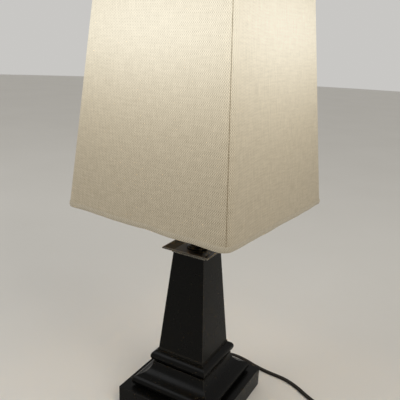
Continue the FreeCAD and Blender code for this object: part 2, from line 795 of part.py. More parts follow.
def build_harp():
    low = saddle.value
    spread = dim.leg_spacing.value
    foot = low + dim.tongue_height.value + dim.leg_gap.value
    crown = seat.value - dim.harp_crown.value
    stretch = dim.harp_height.value / HARP_DRAWN
    right = [Vector(spread, 0, foot), Vector(spread, 0, low + HARP_KNEE * stretch)]
    for reach, height in HARP_BELLY:
        right.append(Vector(reach, 0, low + height * stretch))
    right.append(Vector(HARP_CROWN_HALF, 0, crown))
    left = [Vector(-point.x, 0, point.z) for point in reversed(right)]
    swept("harp_wire", [right + left], dim.harp_wire.value)


def build_harp_stud():
    corners = (
        (0, seat - dim.boss_depth),
        (dim.boss_radius, seat - dim.boss_depth),
        (dim.boss_radius, seat - dim.flange_thick),
        (dim.flange_radius, seat - dim.flange_thick),
        (dim.flange_radius, seat),
        (dim.stud_radius, seat),
        (dim.stud_radius, seat + dim.stud_height),
        (0, seat + dim.stud_height),
    )
    body = turned("harp_stud", corners)
    wire_hole = circle(new_sketch(body, "YZ_Plane"), 0, seat - dim.harp_crown, dim.harp_wire)
    pocket(body, wire_hole, THROUGH * dim.boss_radius, midplane=True)


def build_ferrules():
    low = dim.shoulder_height + dim.ferrule_gap
    section = tube_section(dim.ferrule_bore, dim.ferrule_radius, 0, dim.ferrule_length)
    for name, x in (("ferrule_left", -dim.leg_spacing), ("ferrule_right", dim.leg_spacing)):
        place(turned(name, section), x=x, z=saddle + low)


# Socket: a cap on the rod, a shell with its liner, and an insert with the contacts


def build_socket_cap():
    hub_low = saddle + dim.saddle_thick
    hub_top = hub_low + dim.hub_height
    dome = saddle + dim.cap_dome
    rim = saddle + dim.cap_top
    inner = dim.cap_radius - dim.cap_wall
    corners = (
        (dim.rod_radius, hub_low),
        (dim.hub_radius, hub_low),
        (dim.hub_radius, hub_top),
        (dim.cap_radius, dome),
        (dim.cap_radius, rim),
        (inner, rim),
        (inner, dome + dim.cap_wall / 2),
        (dim.hub_radius - dim.cap_wall / 2, hub_top + dim.cap_wall),
        (dim.rod_radius, hub_top + dim.cap_wall),
    )
    body = turned("socket_cap", corners)
    # the set screw's hole is on the back of the hub
    hole = circle(new_sketch(body, "XZ_Plane"), 0, saddle + dim.set_screw_height, dim.set_screw_radius)
    pocket(body, hole, dim.hub_radius)


def build_socket_set_screw():
    # along the local Z axis, which the placement turns to face the back
    shank = dim.hub_radius - dim.rod_radius
    corners = (
        (0, 0),
        (dim.set_screw_radius, 0),
        (dim.set_screw_radius, shank),
        (dim.set_screw_head, shank),
        (dim.set_screw_head, shank + dim.set_screw_radius),
        (0, shank + dim.set_screw_radius),
    )
    body = turned("socket_set_screw", corners)
    height = saddle + dim.set_screw_height
    place(body, y=dim.rod_radius, z=height, axis=Vector(1, 0, 0), angle=-QUARTER)


def build_socket_shell_and_liner():
    outer = dim.cap_radius - dim.cap_wall
    inner = outer - dim.shell_wall
    low = saddle + dim.shell_foot
    high = saddle + dim.shell_top
    shell = turned("socket_shell", tube_section(inner, outer, low, high))
    liner_outer = inner - dim.liner_play
    liner_top = high - dim.liner_inset
    section = tube_section(liner_outer - dim.liner_wall, liner_outer, low, liner_top)
    liner = turned("socket_liner", section)
    for body in (shell, liner):
        hole = circle(new_sketch(body, "XZ_Plane"), 0, saddle + dim.switch_height, dim.switch_hole)
        pocket(body, hole, dim.cap_radius, along_normal=True)


def build_socket_insert():
    low = saddle + dim.insert_foot
    high = saddle + dim.insert_top
    body = turned("socket_insert", tube_section(0, dim.insert_radius, low, high))
    bearing = dim.switch_radius + dim.switch_play
    hole = circle(new_sketch(body, "XZ_Plane"), 0, saddle + dim.switch_height, bearing)
    hole.AttachmentOffset = Placement(Vector(0, 0, dim.switch_depth.value), Rotation())
    hole.setExpression("AttachmentOffset.Base.z", (dim.switch_depth - dim.switch_play).formula)
    pocket(body, hole, dim.insert_radius, along_normal=True)
    shell_section = tube_section(
        dim.screw_shell_inner, dim.screw_shell_outer, high, saddle + dim.screw_shell_top
    )
    turned("screw_shell", shell_section)
    turned("centre_contact", tube_section(0, dim.contact_radius, high, high + dim.contact_thick))
    screws = new_body("terminal_screws")
    sketch = new_sketch(screws, lift=low - dim.terminal_height)
    first = pad(screws, circle(sketch, dim.terminal_reach, 0, dim.terminal_radius), dim.terminal_height)
    around(screws, 2, first)


def build_switch():
    knob_start = dim.cap_radius + dim.knob_gap
    hub_end = knob_start + dim.paddle_hub
    shaft = turned("switch_shaft", tube_section(0, dim.switch_radius, dim.switch_depth, hub_end))
    knob = turned("switch_knob", tube_section(dim.switch_radius, dim.knob_radius, knob_start, hub_end))
    paddle = new_sketch(knob, lift=hub_end)
    rounded_rectangle(paddle, dim.paddle_half, dim.paddle_thick / 2, dim.paddle_corner)
    pad(knob, paddle, dim.knob_length - dim.paddle_hub)
    for body in (shaft, knob):
        place(body, z=saddle + dim.switch_height, axis=Vector(1, 0, 0), angle=QUARTER)


# Bulb


def build_bulb():
    tip_low = saddle + dim.insert_top + dim.contact_thick + dim.bulb_gap
    cap_low = tip_low + dim.tip_height
    cap_top = saddle + dim.bulb_cap_top
    turned("bulb_contact", tube_section(0, dim.tip_radius, tip_low, cap_low))
    cap = (
        (0, cap_low),
        (dim.tip_radius, cap_low),
        (dim.bulb_cap_radius, cap_low + dim.tip_height),
        (dim.bulb_cap_radius, cap_top),
        (0, cap_top),
    )
    turned("bulb_cap", cap)
    neck_top = saddle + dim.bulb_neck_top
    middle = saddle + dim.bulb_middle
    rise = middle - neck_top
    widening = dim.bulb_radius - dim.bulb_neck
    flare = (dim.bulb_neck * dim.bulb_neck + rise * rise - dim.bulb_radius * dim.bulb_radius) / (2 * widening)

    def meeting_point(radius):
        """Where the flare's arc meets the round of the bulb, for its outer or inner wall."""
        share = radius / (dim.bulb_radius + flare)
        return (share * (dim.bulb_neck + flare), middle - share * rise)

    inner_neck = dim.bulb_neck - dim.glass_wall
    inner_radius = dim.bulb_radius - dim.glass_wall
    outer_x, outer_z = meeting_point(dim.bulb_radius)
    inner_x, inner_z = meeting_point(inner_radius)
    glass = (
        (inner_neck, cap_top),
        (dim.bulb_neck, cap_top),
        (dim.bulb_neck, neck_top),
        (outer_x, outer_z, -flare),
        (dim.bulb_radius, middle, dim.bulb_radius),
        (0, middle + dim.bulb_radius, dim.bulb_radius),
        (0, middle + inner_radius),
        (inner_radius, middle, -inner_radius),
        (inner_x, inner_z, -inner_radius),
        (inner_neck, neck_top, flare + dim.glass_wall),
    )
    turned("bulb_glass", glass)


# Shade


def shade_half_at(height):
    """Half the shade's width at a height over its lower edge."""
    return dim.shade_half - (dim.shade_half - dim.shade_top_half) * height / dim.shade_height


def shade_sections(body, low, high, grow):
    """Rounded squares at two heights over the lower edge, grown outwards."""
    sketches = []
    for height in (low, high):
        sketch = new_sketch(body, lift=shade_foot + height)
        half = shade_half_at(height) + grow
        rounded_rectangle(sketch, half, half, dim.shade_corner + grow)
        sketches.append(sketch)
    return sketches


def shade_shell(name, low, high, inside, outside):
    """A tapered square tube between two heights, as far inside and outside the shade's face as given."""
    body = new_body(name)
    loft(body, shade_sections(body, low, high, as_size(outside)))
    loft(body, shade_sections(body, low, high, -as_size(inside)), cut=True)
    place(body, angle=SHADE_TURN)


def build_shade_cover():
    shade_shell("shade_cover", as_size(0), dim.shade_height, dim.shade_wall, 0)
    upper = dim.shade_height - dim.trim_height
    shade_shell("trim_bottom", as_size(0), dim.trim_height, 0, dim.trim_thick)
    shade_shell("trim_top", upper, dim.shade_height, 0, dim.trim_thick)


ring_depth = dim.shade_wall + dim.ring_play + dim.ring_wire


def build_shade_rings():
    for name, height in (
        ("ring_bottom", dim.ring_inset),
        ("ring_top", dim.shade_height - dim.ring_inset),
    ):
        body = new_body(name)
        half = shade_half_at(height) - ring_depth
        spine = new_sketch(body, lift=shade_foot + height)
        rounded_rectangle(spine, half, half, dim.shade_corner - ring_depth)
        section = circle(new_sketch(body, "XZ_Plane"), half, shade_foot + height, dim.ring_wire)
        feature = body.newObject("PartDesign::AdditivePipe", f"{name}_pipe")
        feature.Profile = (section, [""])
        edges = [f"Edge{number}" for number in range(1, spine.GeometryCount + 1)]
        feature.Spine = (spine, edges)
        place(body, angle=SHADE_TURN)


def build_corner_ribs():
    body = new_body("corner_ribs")
    sketches = []
    for height in (dim.ring_inset + dim.ring_wire, dim.shade_height - dim.ring_inset - dim.ring_wire):
        corner_middle = shade_half_at(height) - dim.shade_corner
        spot = corner_middle + (dim.shade_corner - ring_depth) * math.cos(math.pi / 4)
        sketches.append(circle(new_sketch(body, lift=shade_foot + height), spot, spot, dim.rib_wire))
    around(body, SIDES, loft(body, sketches))
    place(body, angle=SHADE_TURN)


def build_spider():
    washer_top = seat + dim.spider_thick
    turned("spider_washer", tube_section(dim.spider_bore, dim.spider_hub, seat, washer_top))
    ring_height = shade_top - dim.ring_inset
    ring_half = shade_half_at(dim.shade_height - dim.ring_inset) - ring_depth - dim.ring_wire
    level = seat + dim.spider_thick / 2
    first = [
        Vector(dim.spider_hub.value, 0, level.value),
        Vector((ring_half - dim.spider_rise_start).value, 0, level.value),
        Vector((ring_half - dim.spider_rise_end).value, 0, (ring_height - dim.ring_wire).value),
        Vector(ring_half.value, 0, ring_height.value),
    ]
    routes = []
    for number in range(SIDES):
        turn = Rotation(Vector(0, 0, 1), QUARTER * number + SHADE_TURN)
        routes.append([turn.multVec(point) for point in first])
    swept("spider_arms", routes, dim.spider_wire.value)


def build_finial():
    low = seat + dim.spider_thick
    ball = low + dim.finial_ball_height
    neck_depth = math.sqrt(dim.finial_ball.value**2 - dim.finial_neck.value**2)
    tip_depth = math.sqrt(dim.finial_ball.value**2 - dim.finial_tip_foot.value**2)
    corners = (
        (dim.finial_bore, low),
        (dim.finial_foot, low),
        (dim.finial_foot, low + dim.finial_foot_height),
        (dim.finial_neck, low + 2 * dim.finial_foot_height),
        (dim.finial_neck, ball - neck_depth),
        (dim.finial_tip_foot, ball + tip_depth, dim.finial_ball),
        (dim.finial_tip, low + dim.finial_height - dim.finial_tip),
        (0, low + dim.finial_height, dim.finial_tip),
        (0, low + dim.finial_bore_depth),
        (dim.finial_bore, low + dim.finial_bore_depth),
    )
    turned("finial", corners)


# Leads, bushing, cord and plug

relief_start = dim.plinth_half + dim.bushing_flange_thick


def build_leads():
    """Two insulated leads from the bushing, under the nut and up the pipe to the socket."""
    low = (dim.rod_start + cover_top) / 2
    start = dim.plinth_half - dim.plinth_wall - dim.bushing_nut_thick
    routes = []
    for x in (-dim.lead_spacing.value, dim.lead_spacing.value):
        routes.append(
            (
                Vector(x, start.value, dim.exit_height.value),
                Vector(x, (start - dim.lead_run).value, dim.exit_height.value),
                Vector(x, dim.lead_turn.value, low.value),
                Vector(x, 0, low.value),
                Vector(x, 0, (saddle + dim.insert_foot).value),
            )
        )
    swept("leads", routes, dim.lead_radius.value)


def build_cord_bushing():
    # along the local Z axis, which the placement turns to face the back
    inner_face = dim.plinth_half - dim.plinth_wall
    end = relief_start + dim.relief_length
    corners = (
        (0, inner_face - dim.bushing_nut_thick),
        (dim.bushing_nut, inner_face - dim.bushing_nut_thick),
        (dim.bushing_nut, inner_face),
        (dim.bushing_radius, inner_face),
        (dim.bushing_radius, dim.plinth_half),
        (dim.bushing_flange, dim.plinth_half),
        (dim.bushing_flange, relief_start),
        (dim.relief_root, relief_start),
        (dim.relief_end, end),
        (0, end),
    )
    body = turned("cord_bushing", corners)
    place(body, z=dim.exit_height, axis=Vector(1, 0, 0), angle=-QUARTER)


# The cord's route, chosen by hand from the photograph: out of the back, round to the right and along the
# table to the coil. Its middle is just over half its diameter above the table.
CORD_LEVEL = 3.05
CORD_ROUTE = (
    (0.0, 90.0, 12.0),
    (0.0, 106.5, 12.0),
    (7.7, 121.0, 9.4),
    (21.6, 130.0, 6.0),
    (38.0, 131.0, 3.7),
    (54.0, 124.5, CORD_LEVEL),
    (77.8, 111.9, CORD_LEVEL),
    (91.7, 106.1, CORD_LEVEL),
    (108.0, 103.5, CORD_LEVEL),
    (131.3, 98.2, CORD_LEVEL),
    (157.2, 90.8, CORD_LEVEL),
    (178.0, 83.0, CORD_LEVEL),
    (195.0, 70.0, CORD_LEVEL),
    (207.0, 53.0, CORD_LEVEL),
    (213.7, 34.0, CORD_LEVEL),
    (216.0, 15.0, CORD_LEVEL),
    (216.0, -4.0, CORD_LEVEL),
)

# The coil: two layers that spiral in and out again, clockwise as seen from above
COIL_MIDDLE = (172.0, -4.0)
COIL_OUTER = 44.0  # radius of the first turn
COIL_PITCH = 7.6  # from turn to turn, and from layer to layer
COIL_TURNS = 3  # in each layer

TAIL_BENDS = (
    # (x, y, z), after the coil's end
    (212.2, -22.0, 10.65),
    (213.2, -41.0, 8.2),
    (214.4, -60.0, 6.25),
    (214.4, -77.0, 6.25),
)


def biarc(start, heading, end, end_heading):
    """Two arcs that leave start along heading and reach end along end_heading."""
    chord = end - start
    both = heading + end_heading
    spread = 2 * (1 - heading.dot(end_heading))
    along = chord.dot(both)
    reach = (-along + math.sqrt(along**2 + spread * chord.dot(chord))) / spread
    joint = (start + end + (heading - end_heading) * reach) * 0.5
    return (start, heading, joint), (end, -end_heading, joint)


def arc_edge(start, tangent, end):
    """The arc that leaves start along tangent and passes through end."""
    chord = end - start
    side = (chord - tangent * chord.dot(tangent)).normalize()
    radius = chord.dot(chord) / (2 * chord.dot(side))
    centre = start + side * radius
    outward = ((start - centre) + (end - centre)).normalize()
    return Part.Arc(start, centre + outward * radius, end).toShape(), radius


def coil_stations():
    """The coil's points at each half turn, with the heading there."""
    half_turns = 2 * COIL_TURNS
    stations = []
    radius = COIL_OUTER
    level = CORD_LEVEL
    for number in range(2 * half_turns + 1):
        side = 1 if number % 2 == 0 else -1
        spot = Vector(COIL_MIDDLE[0] + side * radius, COIL_MIDDLE[1], level)
        stations.append((spot, Vector(0, -side, 0)))
        if number < half_turns:
            radius -= COIL_PITCH / 2
        elif number == half_turns:
            level += COIL_PITCH
        else:
            radius += COIL_PITCH / 2
    return stations


def least_gap(wire, radius):
    """The smallest distance between two parts of a tube that are over half a turn apart."""
    step = radius / 2
    points = wire.discretize(Distance=step)
    apart = int(math.pi * (COIL_OUTER - COIL_TURNS * COIL_PITCH) / step)
    smallest = math.inf
    for number, point in enumerate(points):
        for other in points[number + apart :]:
            smallest = min(smallest, (point - other).Length)
    return smallest - 2 * radius


def build_cord():
    radius = dim.cord_diameter.value / 2
    swept("cord_run", [[Vector(*point) for point in CORD_ROUTE]], radius)
    stations = coil_stations()
    edges = []
    tightest = math.inf
    for (start, heading), (end, end_heading) in zip(stations, stations[1:]):
        for arc in biarc(start, heading, end, end_heading):
            edge, bend = arc_edge(*arc)
            edges.append(edge)
            tightest = min(tightest, bend)
    coil = Part.Wire(Part.__sortEdges__(edges))
    gap = least_gap(coil, radius)
    print(f"cord_coil: length {coil.Length:.1f} mm, smallest radius {tightest:.1f} mm, least gap {gap:.2f} mm")
    start, heading = stations[0]
    made_feature("cord_coil", [swept_solid("cord_coil", coil, start, heading, radius)])
    tail = [stations[-1][0]] + [Vector(*point) for point in TAIL_BENDS]
    swept("cord_tail", [tail], radius)


def build_plug():
    """The plug lies flat. Its body and blades point to -Y."""
    body = new_body("plug_body")
    neck = new_sketch(body, "XZ_Plane")
    rounded_rectangle(neck, dim.plug_neck_half, dim.plug_neck_thick / 2, dim.plug_corner)
    shoulder = new_sketch(body, "XZ_Plane", lift=dim.plug_shoulder)
    rounded_rectangle(shoulder, dim.plug_half, dim.plug_thick / 2, dim.plug_corner)
    loft(body, [neck, shoulder])
    block = new_sketch(body, "XZ_Plane", lift=dim.plug_shoulder)
    rounded_rectangle(block, dim.plug_half, dim.plug_thick / 2, dim.plug_corner)
    pad(body, block, dim.plug_length)
    blades = new_body("plug_blades")
    face = dim.plug_shoulder + dim.plug_length
    sketch = new_sketch(blades, "XZ_Plane", lift=face)
    for side in (-1, 1):
        middle = side * dim.blade_spacing
        half = dim.blade_thick / 2
        rectangle(sketch, middle - half, -dim.blade_width / 2, middle + half, dim.blade_width / 2)
    pad(blades, sketch, dim.blade_length)
    x, y, z = TAIL_BENDS[-1]
    for piece in (body, blades):
        place(piece, x=x, y=y, z=z)


def build_all():
    build_felt_pad()
    build_base_cover()
    build_cover_screws()
    build_plinth()
    build_weight()
    build_base_moulding()
    build_column_base_ring()
    build_column()
    build_tray()
    build_rod_pieces()
    build_neck()
    build_harp_saddle()
    build_harp()
    build_harp_stud()
    build_ferrules()
    build_socket_cap()
    build_socket_set_screw()
    build_socket_shell_and_liner()
    build_socket_insert()
    build_switch()
    build_bulb()
    build_shade_cover()
    build_shade_rings()
    build_corner_ribs()
    build_spider()
    build_finial()
    build_leads()
    build_cord_bushing()
    build_cord()
    build_plug()


def check_and_export():
    doc.recompute()
    for item in doc.Objects:
        if "Invalid" in item.State or "Error" in item.State:
            raise RuntimeError(f"{item.Label} failed: {item.State}")
    for part in parts:
        if part.Shape.isNull() or not part.Shape.isValid() or not part.Shape.Solids:
            raise RuntimeError(f"{part.Label} has no valid solid")
    os.makedirs("parts", exist_ok=True)
    for part in parts:
        part.Shape.exportStep(f"parts/{part.Label}.step")
    print(f"{len(parts)} sub-parts")


build_all()
check_and_export()
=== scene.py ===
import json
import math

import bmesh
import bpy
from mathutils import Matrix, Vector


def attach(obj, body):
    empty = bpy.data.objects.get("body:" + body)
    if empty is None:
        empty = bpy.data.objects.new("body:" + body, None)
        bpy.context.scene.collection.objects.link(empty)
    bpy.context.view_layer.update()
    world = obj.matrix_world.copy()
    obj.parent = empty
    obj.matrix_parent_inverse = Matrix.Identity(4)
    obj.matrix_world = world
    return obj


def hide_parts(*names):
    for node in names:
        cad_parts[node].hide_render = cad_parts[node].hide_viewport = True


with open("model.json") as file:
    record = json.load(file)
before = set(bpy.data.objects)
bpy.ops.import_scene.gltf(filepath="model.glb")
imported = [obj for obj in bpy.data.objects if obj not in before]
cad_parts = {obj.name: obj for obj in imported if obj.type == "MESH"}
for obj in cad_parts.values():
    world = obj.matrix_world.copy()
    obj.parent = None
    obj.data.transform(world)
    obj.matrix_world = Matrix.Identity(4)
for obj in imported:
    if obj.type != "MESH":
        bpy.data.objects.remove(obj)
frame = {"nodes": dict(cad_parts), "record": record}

# %% [markdown]
# # A column table lamp
# The CAD model is loaded above as a fixed frame, in metres: a stepped square foot, a tapered
# column, a square tray and a tall square shade that is lit from inside. Metal and moulded parts of
# the right shape stay and only get a finish. Cloth, the cord and its fittings are built again here,
# because they are soft or have detail that the frame leaves out.

scene = bpy.context.scene
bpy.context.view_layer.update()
MM = 0.001

# %% [markdown]
# ## Camera
# The camera stands in front and to the right, a little above the shade's lower edge, and looks
# down. Its place and its three axes were solved from straight edges of the lamp, so it is written
# as a matrix: the columns are the camera's right, up and backward directions, and then its place.

# %% Camera
CAMERA_RIGHT = Vector((0.86394713, 0.50185296, 0.04170082))
CAMERA_UP = Vector((-0.18160607, 0.23325754, 0.95530632))
CAMERA_PLACE = Vector((0.3220, -0.5698, 0.5194))
LENS_MM = 44.5

camera_data = bpy.data.cameras.new("camera")
camera_data.lens = LENS_MM
camera_data.sensor_width = 36.0
camera_data.clip_start = 0.01
camera = bpy.data.objects.new("camera", camera_data)
scene.collection.objects.link(camera)
axes = Matrix((CAMERA_RIGHT, CAMERA_UP, CAMERA_RIGHT.cross(CAMERA_UP))).transposed()
camera.matrix_world = Matrix.Translation(CAMERA_PLACE) @ axes.to_4x4()
scene.camera = camera
scene.view_settings.view_transform = "Standard"
print("camera at", tuple(CAMERA_PLACE))

# %% [markdown]
# ## Small helpers for meshes
# Every finished piece is one object at the origin, with its place in its mesh. `new_mesh_piece`
# makes such an object from points and faces, and shades it smooth except at sharp edges.

# %% Mesh helpers
SMOOTH_LIMIT = math.radians(35.0)
MERGE_REACH = 0.001 * MM


def link_piece(name, data):
    piece = bpy.data.objects.new(name, data)
    scene.collection.objects.link(piece)
    return piece


def finish_mesh(mesh):
    """Merges doubles, turns the faces outwards and marks the sharp edges."""
    work = bmesh.new()
    work.from_mesh(mesh)
    bmesh.ops.remove_doubles(work, verts=work.verts, dist=MERGE_REACH)
    bmesh.ops.recalc_face_normals(work, faces=work.faces)
    for edge in work.edges:
        edge.smooth = len(edge.link_faces) != 2 or edge.calc_face_angle(0.0) < SMOOTH_LIMIT
    for face in work.faces:
        face.smooth = True
    work.to_mesh(mesh)
    work.free()
    return mesh


def new_mesh_piece(name, points, faces):
    mesh = bpy.data.meshes.new(name)
    mesh.from_pydata([tuple(point) for point in points], [], faces)
    return link_piece(name, finish_mesh(mesh))


def rings_to_faces(rings, around, caps=True):
    """Quads between rings of equally many points, with a flat cap at each end if wanted."""
    faces = []
    for ring in range(rings - 1):
        for spot in range(around):
            after = (spot + 1) % around
            low, high = ring * around, (ring + 1) * around
            faces.append((low + spot, low + after, high + after, high + spot))
    if caps:
        faces.append(tuple(range(around))[::-1])
        faces.append(tuple((rings - 1) * around + spot for spot in range(around)))
    return faces


# %% [markdown]
# ## The cord's line
# The real cord is a flat twin flex. It leaves the foot at the back, drops to the table, comes round
# to the right and runs out of the picture. The rest of its length is put away as a neat round coil
# with the plug beside it. A NURBS curve through a few listed points makes a line that is
# smooth like a real cord; the coil is more points of the same curve, sixteen to each turn. A curve
# of this kind runs a little inside its points, so the coil's points are set out by a swell factor.

# %% Cord route
LEVEL = 1.95 * MM  # middle of the flat cord when it lies on the table
CORD_ROUTE = [
    (0.0, 0.0900, 0.0120),
    (0.0, 0.1062, 0.0120),
    (0.0072, 0.1180, 0.0088),
    (0.0205, 0.1245, 0.0048),
    (0.0380, 0.1245, 0.0024),
    (0.0560, 0.1195, LEVEL),
    (0.0760, 0.1160, LEVEL),
    (0.0930, 0.1150, LEVEL),
    (0.1120, 0.1140, LEVEL),
    (0.1350, 0.1060, LEVEL),
    (0.1570, 0.0925, LEVEL),
    (0.1780, 0.0830, LEVEL),
    (0.1950, 0.0700, LEVEL),
    (0.2070, 0.0530, LEVEL),
    (0.2137, 0.0340, LEVEL),
    (0.2160, 0.0150, LEVEL),
]
COIL_MIDDLE = (0.172, -0.004)
COIL_OUTER = 0.044
COIL_PITCH = 0.0076
COIL_TURNS = 3  # in each of the coil's two layers
CLIMB_TURNS = 0.5  # the cord climbs to the upper layer in half a turn
LAYER_RISE = 0.0041
POINTS_PER_TURN = 16
PLUG_SPOT = Vector((0.2144, -0.0770, 0.00625))
CORD_TAIL = [
    (0.2122, -0.0220, LEVEL + LAYER_RISE),
    (0.2130, -0.0400, 0.0050),
    (0.2144, -0.0600, 0.0058),
    tuple(PLUG_SPOT),
]

# near a point the curve takes six eighths of that point and one eighth of each of its neighbours
swell = 8.0 / (6.0 + 2.0 * math.cos(2 * math.pi / POINTS_PER_TURN))
inner_radius = COIL_OUTER - COIL_TURNS * COIL_PITCH
coil_points = []
for step in range(2 * COIL_TURNS * POINTS_PER_TURN + 1):
    turn = step / POINTS_PER_TURN
    climb = min(max((turn - COIL_TURNS) / CLIMB_TURNS, 0.0), 1.0)
    if turn <= COIL_TURNS:
        radius = COIL_OUTER - COIL_PITCH * turn
    else:
        radius = inner_radius + COIL_PITCH * max(turn - COIL_TURNS - CLIMB_TURNS, 0.0)
    angle = -2 * math.pi * turn
    x = COIL_MIDDLE[0] + swell * radius * math.cos(angle)
    y = COIL_MIDDLE[1] + swell * radius * math.sin(angle)
    coil_points.append((x, y, LEVEL + LAYER_RISE * climb))
cord_points = CORD_ROUTE + coil_points + CORD_TAIL
print("cord points", len(cord_points))

# %% [markdown]
# ## The cord's section
# Two round cores lie side by side with a groove between them, 7.2 mm wide and 3.7 mm thick. We draw
# that outline once as a closed curve, and the cord's curve takes it as its bevel. `Z_UP` keeps it
# lying flat.

# %% Cord section and curve
CORD_WIDTH = 0.0072
CORD_THICK = 0.0037
SECTION_POINTS = 28
WAIST_DEPTH = 0.28  # of the half thickness, between the two cores
WAIST_WIDTH = 0.22  # of the half width
BLUNTNESS = 0.9  # under 1, the outline's ends are blunter than an oval's
STEPS_PER_POINT = 6


def cord_outline(angle):
    """A point of the twin outline: an oval with a waist in the middle of its flat sides."""
    waist = 1.0 - WAIST_DEPTH * math.exp(-((math.cos(angle) / WAIST_WIDTH) ** 2))
    x = CORD_WIDTH / 2 * math.copysign(abs(math.cos(angle)) ** BLUNTNESS, math.cos(angle))
    return x, CORD_THICK / 2 * math.sin(angle) * waist


section_data = bpy.data.curves.new("cord_section", "CURVE")
section_data.dimensions = "2D"
section_line = section_data.splines.new("POLY")
section_line.points.add(SECTION_POINTS - 1)
for number, point in enumerate(section_line.points):
    x, y = cord_outline(2 * math.pi * number / SECTION_POINTS)
    point.co = (x, y, 0.0, 1.0)
section_line.use_cyclic_u = True
section = link_piece("cord_section", section_data)
section.hide_render = True

cord_data = bpy.data.curves.new("flex", "CURVE")
cord_data.dimensions = "3D"
cord_data.twist_mode = "Z_UP"
cord_data.bevel_mode = "OBJECT"
cord_data.bevel_object = section
cord_data.use_fill_caps = True
cord_data.resolution_u = STEPS_PER_POINT
line = cord_data.splines.new("NURBS")
line.points.add(len(cord_points) - 1)
for point, place in zip(line.points, cord_points):
    point.co = (*place, 1.0)
line.order_u = 3
line.use_endpoint_u = True
line.resolution_u = STEPS_PER_POINT
flex = link_piece("flex", cord_data)
print("section points", SECTION_POINTS)

# %% [markdown]
# ## Node helpers
# Materials and geometry trees are built by small calls: `node` adds a node and feeds its inputs,
# where a value is either a plain number or another node's output, and `group_sockets` names a
# tree's own inputs.

# %% Node helpers


def node(tree, kind, inputs=(), **settings):
    """Adds a node, sets its settings, and links or sets its inputs, given by name or number."""
    made = tree.nodes.new(kind)
    for name, value in settings.items():
        setattr(made, name, value)
    for name, value in dict(inputs).items():
        if isinstance(value, bpy.types.NodeSocket):
            tree.links.new(value, made.inputs[name])
        else:
            made.inputs[name].default_value = value
    return made


def maths(tree, operation, *values):
    """The value of a sum."""
    return node(tree, "ShaderNodeMath", dict(enumerate(values)), operation=operation).outputs[0]


def vector(tree, x=0.0, y=0.0, z=0.0):
    """A vector put together from its three parts."""
    return node(tree, "ShaderNodeCombineXYZ", {0: x, 1: y, 2: z}).outputs[0]


def noise(tree, place, scale, detail):
    """The value of a noise texture."""
    inputs = {"Vector": place, "Scale": scale, "Detail": detail}
    return node(tree, "ShaderNodeTexNoise", inputs).outputs[0]


def mixed(tree, factor, first, second):
    """A colour between two colours."""
    inputs = {0: factor, 6: first, 7: second}
    return node(tree, "ShaderNodeMix", inputs, data_type="RGBA").outputs[2]


def group_sockets(tree, inputs, outputs):
    """Makes a tree's named sockets: inputs as (name, kind, default), outputs as (name, kind)."""
    for name, kind, default in inputs:
        socket = tree.interface.new_socket(name, in_out="INPUT", socket_type=kind)
        if default is not None:
            socket.default_value = default
    for name, kind in outputs:
        tree.interface.new_socket(name, in_out="OUTPUT", socket_type=kind)
    return tree.nodes.new("NodeGroupInput").outputs, tree.nodes.new("NodeGroupOutput").inputs


def rgb(red, green, blue):
    """A colour written as it shows, 0 to 255, turned into Blender's linear light."""

    def linear(level):
        share = level / 255.0
        return share / 12.92 if share <= 0.04045 else ((share + 0.055) / 1.055) ** 2.4

    return (linear(red), linear(green), linear(blue), 1.0)


# %% [markdown]
# ## Shared effects
# *Edge wear* compares the true normal with one that a Bevel node has rounded: they differ only near
# an edge, where paint rubs thin; on the dark bronze and the tray the same pale edge is also a
# painted highlight, light caught along the edge. *Grain* is fine noise for roughness and bump.
# *Weave* is a plain weave of warp and weft with thick and thin places, as linen has. *Glow* fades
# above and below the bulb, and a little towards the shade's corners.

# %% Edge wear and highlight, and grain groups
FLOAT, VECTOR = "NodeSocketFloat", "NodeSocketVector"
EDGE_MASK_GAIN = 6.0  # how fast an edge shows as the two normals part
PATCH_DETAIL = 3.0
FINE_DETAIL = 4.0
BROAD_SHARE = 22.0  # the broad patches are this many times wider than the grain


# the pale edge that this mask gives is real rubbed paint, and on dark paint also a painted
# highlight
def build_edge_wear_and_highlight():
    tree = bpy.data.node_groups.new("edge_wear_and_highlight", "ShaderNodeTree")
    inputs = [("Width", FLOAT, 0.0008), ("Vector", VECTOR, None), ("Patchiness", FLOAT, 300.0)]
    given, out = group_sockets(tree, inputs, [("Mask", FLOAT)])
    rounded = node(tree, "ShaderNodeBevel", {"Radius": given["Width"]}, samples=4).outputs[0]
    true_normal = node(tree, "ShaderNodeNewGeometry").outputs["Normal"]
    normals = {0: rounded, 1: true_normal}
    alike = node(tree, "ShaderNodeVectorMath", normals, operation="DOT_PRODUCT").outputs["Value"]
    edge = maths(tree, "MULTIPLY", maths(tree, "SUBTRACT", 1.0, alike), EDGE_MASK_GAIN)
    patches = noise(tree, given["Vector"], given["Patchiness"], PATCH_DETAIL)
    result = node(tree, "ShaderNodeClamp", {"Value": maths(tree, "MULTIPLY", edge, patches)})
    tree.links.new(result.outputs[0], out["Mask"])
    return tree


def build_grain():
    tree = bpy.data.node_groups.new("grain", "ShaderNodeTree")
    given, out = group_sockets(
        tree,
        [
            ("Vector", VECTOR, None),
            ("Scale", FLOAT, 900.0),
            ("Low", FLOAT, 0.3),
            ("High", FLOAT, 0.5),
        ],
        [("Value", FLOAT), ("Height", FLOAT)],
    )
    fine = noise(tree, given["Vector"], given["Scale"], FINE_DETAIL)
    broad_scale = maths(tree, "DIVIDE", given["Scale"], BROAD_SHARE)
    broad = noise(tree, given["Vector"], broad_scale, PATCH_DETAIL)
    span = maths(tree, "SUBTRACT", given["High"], given["Low"])
    tree.links.new(maths(tree, "MULTIPLY_ADD", broad, span, given["Low"]), out["Value"])
    tree.links.new(fine, out["Height"])
    return tree


edge_wear_and_highlight = build_edge_wear_and_highlight()
grain = build_grain()
print("groups", edge_wear_and_highlight.name, grain.name)

# %% Weave group
WEFT_SHARE = 0.8  # weft threads to one warp thread
WARP_RIB = 0.10
CROSSING = 0.42
SLUB_STRETCH = 0.16  # a thick place is about six threads long
SLUB_SCALE = 0.9


